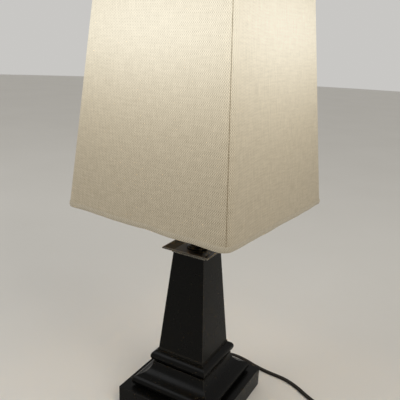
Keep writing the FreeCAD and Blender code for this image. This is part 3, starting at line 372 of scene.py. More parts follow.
def build_weave():
    tree = bpy.data.node_groups.new("weave", "ShaderNodeTree")
    given, out = group_sockets(
        tree,
        [("Vector", VECTOR, None), ("Pitch", FLOAT, 0.0018), ("Slub", FLOAT, 0.35)],
        [("Height", FLOAT), ("Tone", FLOAT)],
    )
    parts = node(tree, "ShaderNodeSeparateXYZ", {0: given["Vector"]}).outputs
    across = maths(tree, "DIVIDE", parts[0], given["Pitch"])
    along = maths(tree, "DIVIDE", parts[1], given["Pitch"])
    warp = maths(tree, "COSINE", maths(tree, "MULTIPLY", across, 2 * math.pi))
    weft = maths(tree, "COSINE", maths(tree, "MULTIPLY", along, 2 * math.pi * WEFT_SHARE))
    crossing = maths(tree, "MULTIPLY", maths(tree, "MULTIPLY", warp, weft), CROSSING)
    ribs = maths(tree, "MULTIPLY_ADD", warp, WARP_RIB, crossing)
    # thick and thin places run along one thread and change from thread to thread
    warp_place = vector(tree, across, maths(tree, "MULTIPLY", along, SLUB_STRETCH))
    weft_place = vector(tree, maths(tree, "MULTIPLY", across, SLUB_STRETCH), along)
    uneven = []
    for place in (warp_place, weft_place):
        uneven.append(maths(tree, "SUBTRACT", noise(tree, place, SLUB_SCALE, 2.0), 0.5))
    slubs = maths(tree, "MULTIPLY", maths(tree, "ADD", *uneven), given["Slub"])
    height = maths(tree, "ADD", maths(tree, "ADD", ribs, 0.5), slubs)
    tree.links.new(height, out["Height"])
    tone = maths(tree, "ADD", maths(tree, "ADD", slubs, ribs), 0.5)
    tree.links.new(node(tree, "ShaderNodeClamp", {"Value": tone}).outputs[0], out["Tone"])
    return tree


weave = build_weave()
print("group", weave.name)

# %% Glow group
# full light up to 0.10 m from the lamp's axis, and 0.78 of it from 0.19 m on
CORNER_FADE = {"From Min": 0.10, "From Max": 0.19, "To Min": 1.0, "To Max": 0.78}


def build_glow():
    """Light of the bulb on the shade: strongest at the bulb's height, weaker in the corners."""
    tree = bpy.data.node_groups.new("glow", "ShaderNodeTree")
    given, out = group_sockets(
        tree,
        [
            ("Vector", VECTOR, None),
            ("Height", FLOAT, 0.55),
            ("Reach", FLOAT, 0.11),
            ("Falloff", FLOAT, 2.4),
        ],
        [("Mask", FLOAT)],
    )
    spot = given["Vector"]
    up = node(tree, "ShaderNodeSeparateXYZ", {0: spot}).outputs[2]
    rise = maths(tree, "SUBTRACT", up, given["Height"])
    reach_squared = maths(tree, "MULTIPLY", given["Reach"], given["Reach"])
    far = maths(tree, "SQRT", maths(tree, "MULTIPLY_ADD", rise, rise, reach_squared))
    fade = maths(tree, "POWER", maths(tree, "DIVIDE", given["Reach"], far), given["Falloff"])
    flat = node(tree, "ShaderNodeVectorMath", {0: spot, 1: (1.0, 1.0, 0.0)}, operation="MULTIPLY")
    aside = node(tree, "ShaderNodeVectorMath", {0: flat.outputs[0]}, operation="LENGTH")
    corner = node(tree, "ShaderNodeMapRange", {"Value": aside.outputs["Value"], **CORNER_FADE})
    tree.links.new(maths(tree, "MULTIPLY", fade, corner.outputs[0]), out["Mask"])
    return tree


glow = build_glow()
print("group", glow.name)

# %% [markdown]
# ## Finishes
# `finish` starts each material: a Principled shader whose numbers that are the same all over are
# set on its own sockets. Metals, paint and plastics differ only in their values, so one function
# makes them all: two colours for the body and its rubbed edges, then the lowest and highest
# roughness. On the dark bronze and the tray the pale edge colour is also a painted highlight.

# %% Finish helpers


def finish(name, **plain):
    """A new material, its tree and shader, and the place on the piece that its patterns read."""
    material = bpy.data.materials.new(name)
    material.use_nodes = True
    tree = material.node_tree
    shader = tree.nodes["Principled BSDF"]
    for socket, value in plain.items():
        shader.inputs[socket.replace("_", " ")].default_value = value
    place = node(tree, "ShaderNodeTexCoord").outputs["Object"]
    return material, tree, shader, place


def grouped(tree, group, inputs):
    """The outputs of a shared effect, placed in a material with its own values."""
    return node(tree, "ShaderNodeGroup", inputs, node_tree=group).outputs


def bump(tree, shader, height, distance):
    inputs = {"Height": height, "Distance": distance, "Strength": 1.0}
    tree.links.new(node(tree, "ShaderNodeBump", inputs).outputs[0], shader.inputs["Normal"])


CLOUD_SCALE = 45.0
DEEPER_SHARE = 0.72  # the darker patches keep this share of the body's colour


def surface_finish(name, body, worn_and_lit, low, high, wear_and_highlight_width=0.0008, scale=900.0, depth=0.00002, **plain):
    """A metal, paint or plastic with grain, patches and a pale edge: rubbed edges, and on dark
    paint also a painted highlight.
    """
    material, tree, shader, place = finish(name, **plain)
    grained = grouped(tree, grain, {"Vector": place, "Scale": scale, "Low": low, "High": high})
    rubbed_and_lit = grouped(tree, edge_wear_and_highlight, {"Vector": place, "Width": wear_and_highlight_width})
    deeper = tuple(channel * DEEPER_SHARE for channel in body[:3]) + (1.0,)
    mottled = mixed(tree, noise(tree, place, CLOUD_SCALE, FINE_DETAIL), deeper, body)
    tree.links.new(mixed(tree, rubbed_and_lit["Mask"], mottled, worn_and_lit), shader.inputs["Base Color"])
    tree.links.new(grained["Value"], shader.inputs["Roughness"])
    bump(tree, shader, grained["Height"], depth)
    return material


# %% Metal and moulded finishes
finishes = {
    # the dark bronze's pale edge colour is partly real rubbed paint and partly a painted highlight
    "dark_bronze": surface_finish(
        "dark_bronze_paint", rgb(9, 9, 8), rgb(70, 65, 56), 0.20, 0.34,
        wear_and_highlight_width=0.0011, Specular_IOR_Level=0.1,
    ),
    "antique_brass": surface_finish(
        "antique_brass", rgb(150, 118, 66), rgb(206, 176, 112), 0.28, 0.46,
        wear_and_highlight_width=0.0005, Metallic=1.0,
    ),
    "brass": surface_finish(
        "brass", rgb(198, 162, 88), rgb(232, 205, 140), 0.2, 0.36, wear_and_highlight_width=0.0003, Metallic=1.0
    ),
    "zinc_steel": surface_finish(
        "zinc_steel", rgb(168, 170, 172), rgb(205, 206, 206), 0.3, 0.5, wear_and_highlight_width=0.0003, Metallic=1.0
    ),
    "iron": surface_finish(
        "cast_iron", rgb(58, 56, 55), rgb(98, 94, 90), 0.55, 0.8,
        wear_and_highlight_width=0.001, scale=500.0, depth=0.00015, Metallic=0.6,
    ),
    "bulb_aluminium": surface_finish(
        "bulb_aluminium", rgb(196, 198, 200), rgb(225, 226, 228), 0.24, 0.4,
        wear_and_highlight_width=0.0003, Metallic=1.0,
    ),
    "moulded_black": surface_finish(
        "moulded_black", rgb(24, 21, 19), rgb(58, 53, 48), 0.38, 0.55, wear_and_highlight_width=0.0004, scale=1500.0
    ),
    "dark_vinyl": surface_finish(
        "dark_vinyl", rgb(30, 24, 17), rgb(48, 38, 30), 0.4, 0.55,
        wear_and_highlight_width=0.0002, scale=1800.0, depth=0.00001, Specular_IOR_Level=0.2,
    ),
    "card": surface_finish(
        "card", rgb(196, 178, 142), rgb(214, 200, 170), 0.75, 0.9, scale=2500.0
    ),
}
# the tray's rim gets its own pale edge colour: a painted highlight, light caught along the lip
tray_rim_highlight_finish = surface_finish(
    "tray_paint_rim_highlight", rgb(20, 19, 17), rgb(192, 184, 168), 0.26, 0.42,
    wear_and_highlight_width=0.0011, Specular_IOR_Level=0.2,
)
print("finishes", sorted(finishes))

# %% [markdown]
# ## Frosted glass
# The bulb is switched on, so its frosted glass is a soft white that gives off warm light. It is
# brightest round its middle. The light that it casts comes from the same surface.

# %% Frosted glass
BULB_MIDDLE = 0.5516
BULB_STRENGTH = 14.0


def build_frosted_glass():
    material, tree, shader, place = finish(
        "frosted_glass", Roughness=0.42, Emission_Strength=BULB_STRENGTH
    )
    middle = {"Vector": place, "Height": BULB_MIDDLE, "Reach": 0.06, "Falloff": 2.0}
    lit = grouped(tree, glow, middle)["Mask"]
    speck = grouped(tree, grain, {"Vector": place, "Scale": 2600.0, "Low": 0.9, "High": 1.0})
    light = mixed(tree, lit, rgb(240, 170, 105), rgb(255, 226, 178))
    body = mixed(tree, speck["Value"], rgb(226, 224, 218), rgb(242, 240, 236))
    tree.links.new(light, shader.inputs["Emission Color"])
    tree.links.new(body, shader.inputs["Base Color"])
    bump(tree, shader, speck["Height"], 0.00002)
    return material


finishes["frosted_glass"] = build_frosted_glass()
print("bulb middle", BULB_MIDDLE)

# %% [markdown]
# ## Linen, lining and felt
# The shade's linen is cream, with dark gaps between its threads. Light from inside comes through
# it, so the same material also gives off light, by the glow group: warm where it is weak and nearly
# white at its brightest. The threads shine a little more than the gaps, so the weave still shows
# where the cloth is bright. The weave reads the piece's own UV map in metres, so its threads follow
# the slanting faces. The inside is a smooth white lining. Felt is a soft black cloth with short
# fibres.

# %% Linen
GLOW_HEIGHT = 0.548
GLOW_REACH = 0.115
GLOW_FALLOFF = 2.6
GAP_SHINE = 0.82
THREAD_SHINE = 0.36  # added to the gaps' shine
LINEN_PITCH = 0.0025
LINEN_SLUB = 0.34
LINEN_DEPTH = 0.00035
BLACK = (0.0, 0.0, 0.0, 1.0)


def build_linen(name, light, dark, warm_glow, pale_glow, use_uv=True, shine_through=1.0):
    plain = {"Roughness": 0.86, "Specular_IOR_Level": 0.2, "Sheen_Weight": 0.15}
    material, tree, shader, place = finish(name, Emission_Strength=shine_through, **plain)
    if use_uv:
        chart = node(tree, "ShaderNodeUVMap", uv_map="threads").outputs[0]
    else:  # a narrow strip round the shade: count along it and up it
        spot = node(tree, "ShaderNodeSeparateXYZ", {0: place}).outputs
        chart = vector(tree, maths(tree, "ADD", spot[0], spot[1]), spot[2])
    cloth = grouped(tree, weave, {"Vector": chart, "Pitch": LINEN_PITCH, "Slub": LINEN_SLUB})
    tree.links.new(mixed(tree, cloth["Tone"], dark, light), shader.inputs["Base Color"])
    bulb = {"Vector": place, "Height": GLOW_HEIGHT, "Reach": GLOW_REACH, "Falloff": GLOW_FALLOFF}
    lit = grouped(tree, glow, bulb)["Mask"]
    thread = maths(tree, "MULTIPLY_ADD", cloth["Tone"], THREAD_SHINE, GAP_SHINE)
    share = maths(tree, "MULTIPLY", lit, thread)
    tint = mixed(tree, lit, warm_glow, pale_glow)
    tree.links.new(mixed(tree, share, BLACK, tint), shader.inputs["Emission Color"])
    bump(tree, shader, cloth["Height"], LINEN_DEPTH)
    return material


linen = build_linen(
    "linen", rgb(200, 188, 166), rgb(120, 109, 89), (0.62, 0.53, 0.36, 1.0), (0.66, 0.63, 0.53, 1.0)
)
trim_cloth = build_linen(
    "trim_cloth", rgb(196, 186, 166), rgb(136, 126, 108),
    (0.52, 0.45, 0.31, 1.0), (0.54, 0.50, 0.40, 1.0), use_uv=False, shine_through=0.8,
)
# the seam's darker brown is painted shade, where the doubled cloth lets less light through
seam_cloth_painted_shade = build_linen(
    "seam_cloth_painted_shade", rgb(138, 123, 99), rgb(128, 113, 90),
    (0.20, 0.15, 0.08, 1.0), (0.22, 0.19, 0.12, 1.0), use_uv=False, shine_through=0.8,
)
finishes["shade_fabric"] = linen
print("cloths", linen.name, trim_cloth.name, seam_cloth_painted_shade.name)

# %% Lining and felt


def build_lining():
    material, tree, shader, place = finish("white_lining", Roughness=0.55)
    soft = grouped(tree, grain, {"Vector": place, "Scale": 700.0, "Low": 0.0, "High": 1.0})
    body = mixed(tree, soft["Value"], rgb(226, 220, 205), rgb(240, 236, 226))
    tree.links.new(body, shader.inputs["Base Color"])
    bump(tree, shader, soft["Height"], 0.00003)
    return material


def build_felt():
    material, tree, shader, place = finish("felt", Roughness=0.95, Sheen_Weight=0.5)
    fibres = node(tree, "ShaderNodeTexVoronoi", {"Vector": place, "Scale": 900.0}, feature="F1")
    cloud = noise(tree, place, 260.0, 5.0)
    body = mixed(tree, cloud, rgb(16, 16, 17), rgb(44, 43, 42))
    tree.links.new(body, shader.inputs["Base Color"])
    bump(tree, shader, maths(tree, "ADD", fibres.outputs["Distance"], cloud), 0.0003)
    return material


lining = build_lining()
finishes["felt"] = build_felt()
print("finishes", len(finishes))

# %% [markdown]
# ## Finishing the frame's own parts
# The imported record says which slot each part takes its finish from, so one loop dresses them all.
# Only the tray has a finish of its own, with a painted highlight along its rim.

# %% Dress the CAD parts
slot_of = {entry["node"]: entry["material_slot"] for entry in frame["record"]["subparts"]}
for part_name, part in frame["nodes"].items():
    part.data.materials.clear()
    own = tray_rim_highlight_finish if part_name == "tray" else finishes[slot_of[part_name]]
    part.data.materials.append(own)
print("dressed", len(slot_of), "parts")

# %% [markdown]
# ## The shade's outline
# The shade is a tall pyramid with a rounded square section, a little askew on the column.
# `shade_ring` gives its outline at any height, grown outwards by any amount: four straight sides
# and four rounded corners. Cloth on a stiff lining is never quite flat, so a slow wave moves each
# face by a fraction of a millimetre.

# %% Shade outline
SHADE_FOOT = 0.3136
SHADE_HEIGHT = 0.4060
SHADE_HALF = 0.1270
SHADE_TOP_HALF = 0.0880
SHADE_CORNER = 0.0120
SHADE_WALL = 0.0010
SHADE_TURN = math.radians(-5.6)
SIDE_STEPS = 20
HALF_CORNER = 4  # steps in half a corner
WAVE_DEPTH = 0.0003
WAVE_ALONG = 31.0  # radians a metre
WAVE_UP = 17.0
WAVE_SHIFT = 2.1  # from panel to panel


def shade_half(height):
    """Half the shade's width at a height over its lower edge."""
    return SHADE_HALF - (SHADE_HALF - SHADE_TOP_HALF) * height / SHADE_HEIGHT


def shade_ring(height, grow=0.0):
    """Outline points of the shade at a height over its lower edge, from the middle of a corner on.
    Each comes with its distance along its panel from the panel's middle, and the panel's number."""
    half = shade_half(height) + grow
    corner = SHADE_CORNER + grow
    straight = half - corner
    ring = []
    for panel in range(4):
        spin = Matrix.Rotation(math.radians(90 * panel) + SHADE_TURN, 3, "Z")
        row = []
        for step in range(HALF_CORNER):
            angle = math.radians(45.0 * step / HALF_CORNER - 45.0)
            x, y = straight + corner * math.cos(angle), -straight + corner * math.sin(angle)
            row.append((Vector((x, y, 0.0)), -straight + corner * angle))
        for step in range(SIDE_STEPS + 1):
            along = straight * (2 * step / SIDE_STEPS - 1)
            row.append((Vector((half, along, 0.0)), along))
        for step in range(1, HALF_CORNER):
            angle = math.radians(45.0 * step / HALF_CORNER)
            x, y = straight + corner * math.cos(angle), straight + corner * math.sin(angle)
            row.append((Vector((x, y, 0.0)), straight + corner * angle))
        for spot, along in row:
            turned = spin @ spot
            outward = Vector((turned.x, turned.y, 0.0)).normalized()
            sideways = math.sin(WAVE_ALONG * along + WAVE_SHIFT * panel)
            turned += outward * WAVE_DEPTH * (sideways * math.sin(WAVE_UP * height + panel))
            turned.z = SHADE_FOOT + height
            ring.append((turned, along, panel))
    return ring


print("ring points", len(shade_ring(0.0)))

# %% [markdown]
# ## The linen
# The cloth and its lining are one shell, 1 mm thick: rings go up the outside and down again inside.
# It ends a little inside the rolled trims. Its UV map counts metres along each panel and up its
# slope.

# %% Shade cloth
HEIGHT_STEPS = 48
EDGE_TUCK = 0.0015  # how far each edge ends inside its rolled trim
PANEL_GAP = 0.4  # between the panels on the UV map
CLOTH_SHARP = math.radians(50.0)


def build_shade_cloth():
    span = SHADE_HEIGHT - 2 * EDGE_TUCK
    heights = [EDGE_TUCK + span * step / HEIGHT_STEPS for step in range(HEIGHT_STEPS + 1)]
    outside = [(height, 0.0) for height in heights]
    path = outside + [(height, -SHADE_WALL) for height in reversed(heights)]
    rings = [shade_ring(height, grow) for height, grow in path]
    around = len(rings[0])
    faces = []
    for ring in range(len(rings)):
        low, high = ring * around, (ring + 1) % len(rings) * around
        for spot in range(around):
            after = (spot + 1) % around
            faces.append((low + spot, low + after, high + after, high + spot))
    mesh = bpy.data.meshes.new("shade_linen")
    mesh.from_pydata([tuple(place) for ring in rings for place, *_ in ring], [], faces)
    mesh.materials.append(linen)
    mesh.materials.append(lining)
    chart = mesh.uv_layers.new(name="threads")
    for number, face in enumerate(mesh.polygons):
        ring, spot = divmod(number, around)
        panel = rings[0][spot][2]
        inside = HEIGHT_STEPS < ring < len(rings) - 1
        face.material_index = 1 if inside else 0
        face.use_smooth = True
        for loop, vertex in zip(face.loop_indices, face.vertices):
            vertex_ring, vertex_spot = divmod(vertex, around)
            _, along, own_panel = rings[vertex_ring][vertex_spot]
            if own_panel != panel:  # the next panel's first point closes this one
                along = -along
            chart.data[loop].uv = (along + PANEL_GAP * panel, path[vertex_ring][0])
    work = bmesh.new()
    work.from_mesh(mesh)
    bmesh.ops.recalc_face_normals(work, faces=work.faces)
    for edge in work.edges:
        edge.smooth = edge.calc_face_angle(0.0) < CLOTH_SHARP
    work.to_mesh(mesh)
    work.free()
    return link_piece("shade_linen", mesh)


shade_linen = build_shade_cloth()
print("shade faces", len(shade_linen.data.polygons))

# %% [markdown]
# ## Rolled trim, by Geometry Nodes
# A strip of the same cloth is rolled over each edge of the shade. It follows the shade's outline,
# so a Geometry Nodes tree makes it: a square curve with filleted corners is resampled, a slow noise
# moves it up and down as hand-rolled cloth does, and Curve to Mesh sweeps a flattened ring along
# it.

# %% Geometry tree helpers


def new_geometry_tree(name, inputs):
    tree = bpy.data.node_groups.new(name, "GeometryNodeTree")
    given, out = group_sockets(tree, inputs, [("Geometry", "NodeSocketGeometry")])
    return tree, given, out


def close_geometry_tree(tree, geometry, material, out):
    """Ends a tree with real geometry that wears its material."""
    solid = node(tree, "GeometryNodeRealizeInstances", {"Geometry": geometry}).outputs[0]
    inputs = {"Geometry": solid, "Material": material}
    tree.links.new(node(tree, "GeometryNodeSetMaterial", inputs).outputs[0], out["Geometry"])
    return tree


def grown(name, tree, values):
    """Runs a tree with its inputs set by name, and keeps the result as a plain mesh piece."""
    carrier = link_piece(name + "_carrier", bpy.data.meshes.new(name + "_carrier"))
    modifier = carrier.modifiers.new("grow", "NODES")
    modifier.node_group = tree
    for item in tree.interface.items_tree:
        if item.item_type == "SOCKET" and item.in_out == "INPUT" and item.name in values:
            modifier[item.identifier] = values[item.name]
    graph = bpy.context.evaluated_depsgraph_get()
    mesh = bpy.data.meshes.new_from_object(
        carrier.evaluated_get(graph), preserve_all_data_layers=True, depsgraph=graph
    )
    mesh.name = name
    carrier.modifiers.remove(modifier)
    bpy.data.objects.remove(carrier)
    print(name, len(mesh.polygons), "faces")
    return link_piece(name, finish_mesh(mesh))


# %% Trim tree
TRIM_CORNER_POINTS = 8
TRIM_LENGTH_POINTS = 420
TRIM_AROUND = 14
WANDER_SCALE = 15.0


def build_trim_tree():
    tree, given, out = new_geometry_tree(
        "rolled_trim",
        [
            ("Half", FLOAT, 0.127),
            ("Corner", FLOAT, 0.012),
            ("Level", FLOAT, 0.3),
            ("Turn", FLOAT, 0.0),
            ("Height", FLOAT, 0.0062),
            ("Thickness", FLOAT, 0.0024),
            ("Wander", FLOAT, 0.0006),
            ("Cloth", "NodeSocketMaterial", None),
        ],
    )
    side = maths(tree, "MULTIPLY", given["Half"], 2.0)
    sides = {"Width": side, "Height": side}
    square = node(tree, "GeometryNodeCurvePrimitiveQuadrilateral", sides, mode="RECTANGLE")
    corners = {"Curve": square.outputs[0], "Radius": given["Corner"], "Count": TRIM_CORNER_POINTS}
    path = node(tree, "GeometryNodeFilletCurve", corners, mode="POLY").outputs[0]
    even = node(tree, "GeometryNodeResampleCurve", {"Curve": path, "Count": TRIM_LENGTH_POINTS})
    spot = node(tree, "GeometryNodeInputPosition").outputs[0]
    slow = maths(tree, "SUBTRACT", noise(tree, spot, WANDER_SCALE, 2.0), 0.5)
    lift = {
        "Geometry": even.outputs[0],
        "Offset": vector(tree, z=maths(tree, "MULTIPLY", slow, given["Wander"])),
    }
    moved = node(tree, "GeometryNodeSetPosition", lift).outputs[0]
    ring = node(
        tree, "GeometryNodeCurvePrimitiveCircle", {"Resolution": TRIM_AROUND, "Radius": 0.5}
    )
    size = vector(tree, given["Thickness"], given["Height"], 1.0)
    oval = node(tree, "GeometryNodeTransform", {"Geometry": ring.outputs[0], "Scale": size})
    sweep = {"Curve": moved, "Profile Curve": oval.outputs[0]}
    where = {
        "Geometry": node(tree, "GeometryNodeCurveToMesh", sweep).outputs[0],
        "Translation": vector(tree, z=given["Level"]),
        "Rotation": vector(tree, z=given["Turn"]),
    }
    placed = node(tree, "GeometryNodeTransform", where).outputs[0]
    return close_geometry_tree(tree, placed, given["Cloth"], out)


trim_tree = build_trim_tree()
print("tree", trim_tree.name)

# %% Trims
TRIM_HEIGHT = 0.0070
TRIM_THICK = 0.0026
TRIM_WANDER = 0.0050
trims = []
for name, height in (
    ("shade_roll_bottom", TRIM_HEIGHT / 2),
    ("shade_roll_top", SHADE_HEIGHT - TRIM_HEIGHT / 2),
):
    trim_values = {
        "Half": shade_half(height) - SHADE_WALL / 2,
        "Corner": SHADE_CORNER - SHADE_WALL / 2,
        "Level": SHADE_FOOT + height,
        "Turn": SHADE_TURN,
        "Height": TRIM_HEIGHT,
        "Thickness": TRIM_THICK,
        "Wander": TRIM_WANDER,
        "Cloth": trim_cloth,
    }
    trims.append(grown(name, trim_tree, trim_values))

# %% [markdown]
# ## The seam
# The linen's two ends meet in a thin lapped seam that runs down the middle of the front right
# corner. It is a narrow raised strip along that corner. Its darker brown cloth is painted shade:
# the doubled cloth lets less of the bulb's light through.

# %% Seam strip
SEAM_HALF = 0.00045
SEAM_PROUD = 0.00035
SEAM_SUNK = 0.0004  # its edges lie this far inside the cloth
SEAM_WANDER = 0.00012
SEAM_STEPS = 60
SEAM_END = 0.7 * TRIM_HEIGHT  # it ends inside the trims
SEAM_PROFILE = ((-1.0, -SEAM_SUNK), (-0.55, SEAM_PROUD), (0.55, SEAM_PROUD), (1.0, -SEAM_SUNK))


def build_seam():
    points = []
    for step in range(SEAM_STEPS + 1):
        height = SEAM_END + (SHADE_HEIGHT - 2 * SEAM_END) * step / SEAM_STEPS
        spot = shade_ring(height)[0][0]
        outward = Vector((spot.x, spot.y, 0.0)).normalized()
        sideways = Vector((-outward.y, outward.x, 0.0))
        wander = SEAM_WANDER * math.sin(2.3 * step)
        for side, proud in SEAM_PROFILE:
            points.append(spot + sideways * (side * SEAM_HALF + wander) + outward * proud)
    faces = rings_to_faces(SEAM_STEPS + 1, len(SEAM_PROFILE))
    return new_mesh_piece("shade_seam", points, faces)


seam = build_seam()
seam.data.materials.append(seam_cloth_painted_shade)
print("seam", len(seam.data.polygons), "faces")

# %% [markdown]
# ## Turned pieces and ribs
# A moulded strain relief is round, so its half outline is turned about its own axis: pairs of a
# radius and a distance along the axis. Its ribs repeat, so Geometry Nodes set rings along a line,
# each a little smaller than the last, and the plug's sleeve uses the same tree.

# %% Strain relief
RELIEF_OUTLINE = (
    (0.0000, 0.0715), (0.0070, 0.0715), (0.0070, 0.0745), (0.0055, 0.0745),
    (0.0055, 0.0795), (0.0078, 0.0795), (0.0080, 0.0798), (0.0080, 0.0814),
    (0.0076, 0.0820), (0.0058, 0.0822), (0.0050, 0.0840), (0.0046, 0.0920),
    (0.0043, 0.1000), (0.0041, 0.1046), (0.0038, 0.1052), (0.0000, 0.1052),
)
TURN_STEPS = 40
EXIT = Vector((0.0, 0.0900, 0.0120))


def lathe(name, outline, centre):
    """Turns (radius, distance) pairs about a line along +Y through centre."""
    points = []
    for radius, distance in outline:
        for step in range(TURN_STEPS):
            angle = 2 * math.pi * step / TURN_STEPS
            x = centre.x + radius * math.cos(angle)
            points.append(Vector((x, distance, centre.z + radius * math.sin(angle))))
    return new_mesh_piece(name, points, rings_to_faces(len(outline), TURN_STEPS, caps=False))


relief = lathe("strain_relief", RELIEF_OUTLINE, EXIT)
relief.data.materials.append(finishes["moulded_black"])
print("relief", len(relief.data.polygons), "faces")

# %% Rib tree
RIB_AROUND = 36
RIB_SECTION_POINTS = 8


def build_rib_tree():
    tree, given, out = new_geometry_tree(
        "ribs",
        [
            ("Count", "NodeSocketInt", 6),
            ("Start", VECTOR, None),
            ("Step", VECTOR, None),
            ("Wide", FLOAT, 0.006),
            ("High", FLOAT, 0.006),
            ("Shrink", FLOAT, 0.95),
            ("Rib", FLOAT, 0.0006),
            ("Plastic", "NodeSocketMaterial", None),
        ],
    )
    row = {"Count": given["Count"], "Start Location": given["Start"], "Offset": given["Step"]}
    places = node(tree, "GeometryNodeMeshLine", row, mode="OFFSET").outputs[0]
    circle = {"Resolution": RIB_AROUND, "Radius": 1.0}
    upright = {
        "Geometry": node(tree, "GeometryNodeCurvePrimitiveCircle", circle).outputs[0],
        "Rotation": (math.pi / 2, 0.0, 0.0),
        "Scale": vector(tree, given["Wide"], given["High"], 1.0),
    }
    oval = node(tree, "GeometryNodeTransform", upright).outputs[0]
    small_circle = {"Resolution": RIB_SECTION_POINTS, "Radius": given["Rib"]}
    profile = node(tree, "GeometryNodeCurvePrimitiveCircle", small_circle).outputs[0]
    rib = node(tree, "GeometryNodeCurveToMesh", {"Curve": oval, "Profile Curve": profile})
    number = node(tree, "GeometryNodeInputIndex").outputs[0]
    factor = maths(tree, "POWER", given["Shrink"], number)
    copies = {
        "Points": places,
        "Instance": rib.outputs[0],
        "Scale": vector(tree, factor, 1.0, factor),
    }
    ribs = node(tree, "GeometryNodeInstanceOnPoints", copies).outputs[0]
    return close_geometry_tree(tree, ribs, given["Plastic"], out)


rib_tree = build_rib_tree()
relief_ribs = grown(
    "relief_ribs",
    rib_tree,
    {
        "Count": 7,
        "Start": (0.0, 0.0850, EXIT.z),
        "Step": (0.0, 0.0028, 0.0),
        "Wide": 0.0049,
        "High": 0.0049,
        "Shrink": 0.977,
        "Rib": 0.0006,
        "Plastic": finishes["moulded_black"],
    },
)

# %% [markdown]
# ## The plug
# The plug is one soft moulding round the cord's end: a slim sleeve that swells into a flat body
# with rounded sides and a shallow thumb grip. Rounded-square sections joined along its length give
# that shape.

# %% Plug body
PLUG_SECTIONS = (
    # (distance from the cord's end towards the blades, half width, half thickness)
    (-0.0120, 0.0040, 0.0026), (-0.0119, 0.0044, 0.0030), (-0.0060, 0.0047, 0.0035),
    (0.0000, 0.0053, 0.0044), (0.0030, 0.0070, 0.0050), (0.0065, 0.0101, 0.0058),
    (0.0090, 0.0116, 0.00605), (0.0115, 0.0120, 0.0061), (0.0145, 0.0117, 0.0054),
    (0.0180, 0.0115, 0.0052), (0.0215, 0.0117, 0.0054), (0.0245, 0.0120, 0.0061),
    (0.0285, 0.0120, 0.0062), (0.0296, 0.0117, 0.0060), (0.0300, 0.0111, 0.0055),
)
PLUG_AROUND = 44
SQUARENESS = 0.62


def squared(level):
    """A sine or cosine pushed outwards, which turns an oval into a rounded rectangle."""
    return math.copysign(abs(level) ** SQUARENESS, level)


def build_plug():
    points = []
    for distance, half_wide, half_thick in PLUG_SECTIONS:
        for step in range(PLUG_AROUND):
            angle = 2 * math.pi * step / PLUG_AROUND
            x = squared(math.cos(angle)) * half_wide
            z = squared(math.sin(angle)) * half_thick
            points.append(PLUG_SPOT + Vector((x, -distance, z)))
    faces = rings_to_faces(len(PLUG_SECTIONS), PLUG_AROUND)
    return new_mesh_piece("plug_moulding", points, faces)


plug = build_plug()
plug.data.materials.append(finishes["moulded_black"])
plug_ribs = grown(
    "plug_ribs",
    rib_tree,
    {
        "Count": 4,
        "Start": (PLUG_SPOT.x, PLUG_SPOT.y + 0.0015, PLUG_SPOT.z),
        "Step": (0.0, 0.0030, 0.0),
        "Wide": 0.0052,
        "High": 0.0041,
        "Shrink": 0.95,
        "Rib": 0.0005,
        "Plastic": finishes["moulded_black"],
    },
)
print("plug", len(plug.data.polygons), "faces")

# %% [markdown]
# ## Leads and felt
# Two insulated leads go from the bushing under the nut and up the pipe to the socket. They follow
# the frame's own route as two smooth curves. The felt under the foot is a square of cloth with a
# slightly ragged edge.

# %% Leads
LEAD_SPACING = 0.0017
LEAD_RADIUS = 0.00125
LEAD_ROUTE = (
    (0.0715, 0.0120), (0.0600, 0.0120), (0.0500, 0.0120), (0.0240, 0.0074), (0.0143, 0.0060),
    (0.0030, 0.0060), (0.0000, 0.0090), (0.0000, 0.0200), (0.0000, 0.2400), (0.0000, 0.4496),
)
leads_data = bpy.data.curves.new("lead_pair", "CURVE")
leads_data.dimensions = "3D"
leads_data.bevel_depth = LEAD_RADIUS
leads_data.use_fill_caps = True
for x in (-LEAD_SPACING, LEAD_SPACING):
    lead = leads_data.splines.new("NURBS")
    lead.points.add(len(LEAD_ROUTE) - 1)
    for point, (y, z) in zip(lead.points, LEAD_ROUTE):
        point.co = (x, y, z, 1.0)
    lead.order_u = 3
    lead.use_endpoint_u = True
leads_data.materials.append(finishes["dark_vinyl"])
leads = link_piece("lead_pair", leads_data)
print("leads", len(leads_data.splines))

# %% Felt pad
FELT_HALF = 0.0738
FELT_THICK = 0.0015
FELT_STEPS = 60
FELT_RAGGED = 0.0002
FELT_PROFILE = ((0.0004, 0.0), (0.0, 0.0004), (0.0, 0.0011), (0.0003, FELT_THICK))


def build_felt_piece():
    points = []
    for inset, z in FELT_PROFILE:
        pull = (FELT_HALF - inset) / FELT_HALF
        for side in range(4):
            spin = Matrix.Rotation(math.radians(90 * side), 3, "Z")
            for step in range(FELT_STEPS):
                along = FELT_HALF * (2 * step / FELT_STEPS - 1)
                ragged = FELT_RAGGED * math.sin(37.0 * step + side) * math.sin(11.3 * step)
                reach = FELT_HALF - inset - abs(ragged)
                points.append(spin @ Vector((reach, along * pull, z)))
    return new_mesh_piece("felt_cloth", points, rings_to_faces(len(FELT_PROFILE), 4 * FELT_STEPS))


felt = build_felt_piece()
felt.data.materials.append(finishes["felt"])
flex.data.materials.append(finishes["dark_vinyl"])
print("felt", len(felt.data.polygons), "faces")

# %% [markdown]
# ## Floor, world and lamps
# The floor is a plain pale disc. The world is a soft even light; the camera, clear glass and shiny
# metal see it as a pale grey like the floor's. Two large soft lamps, a warm one at the right and a
# cool one at the left, give the metal its highlights.

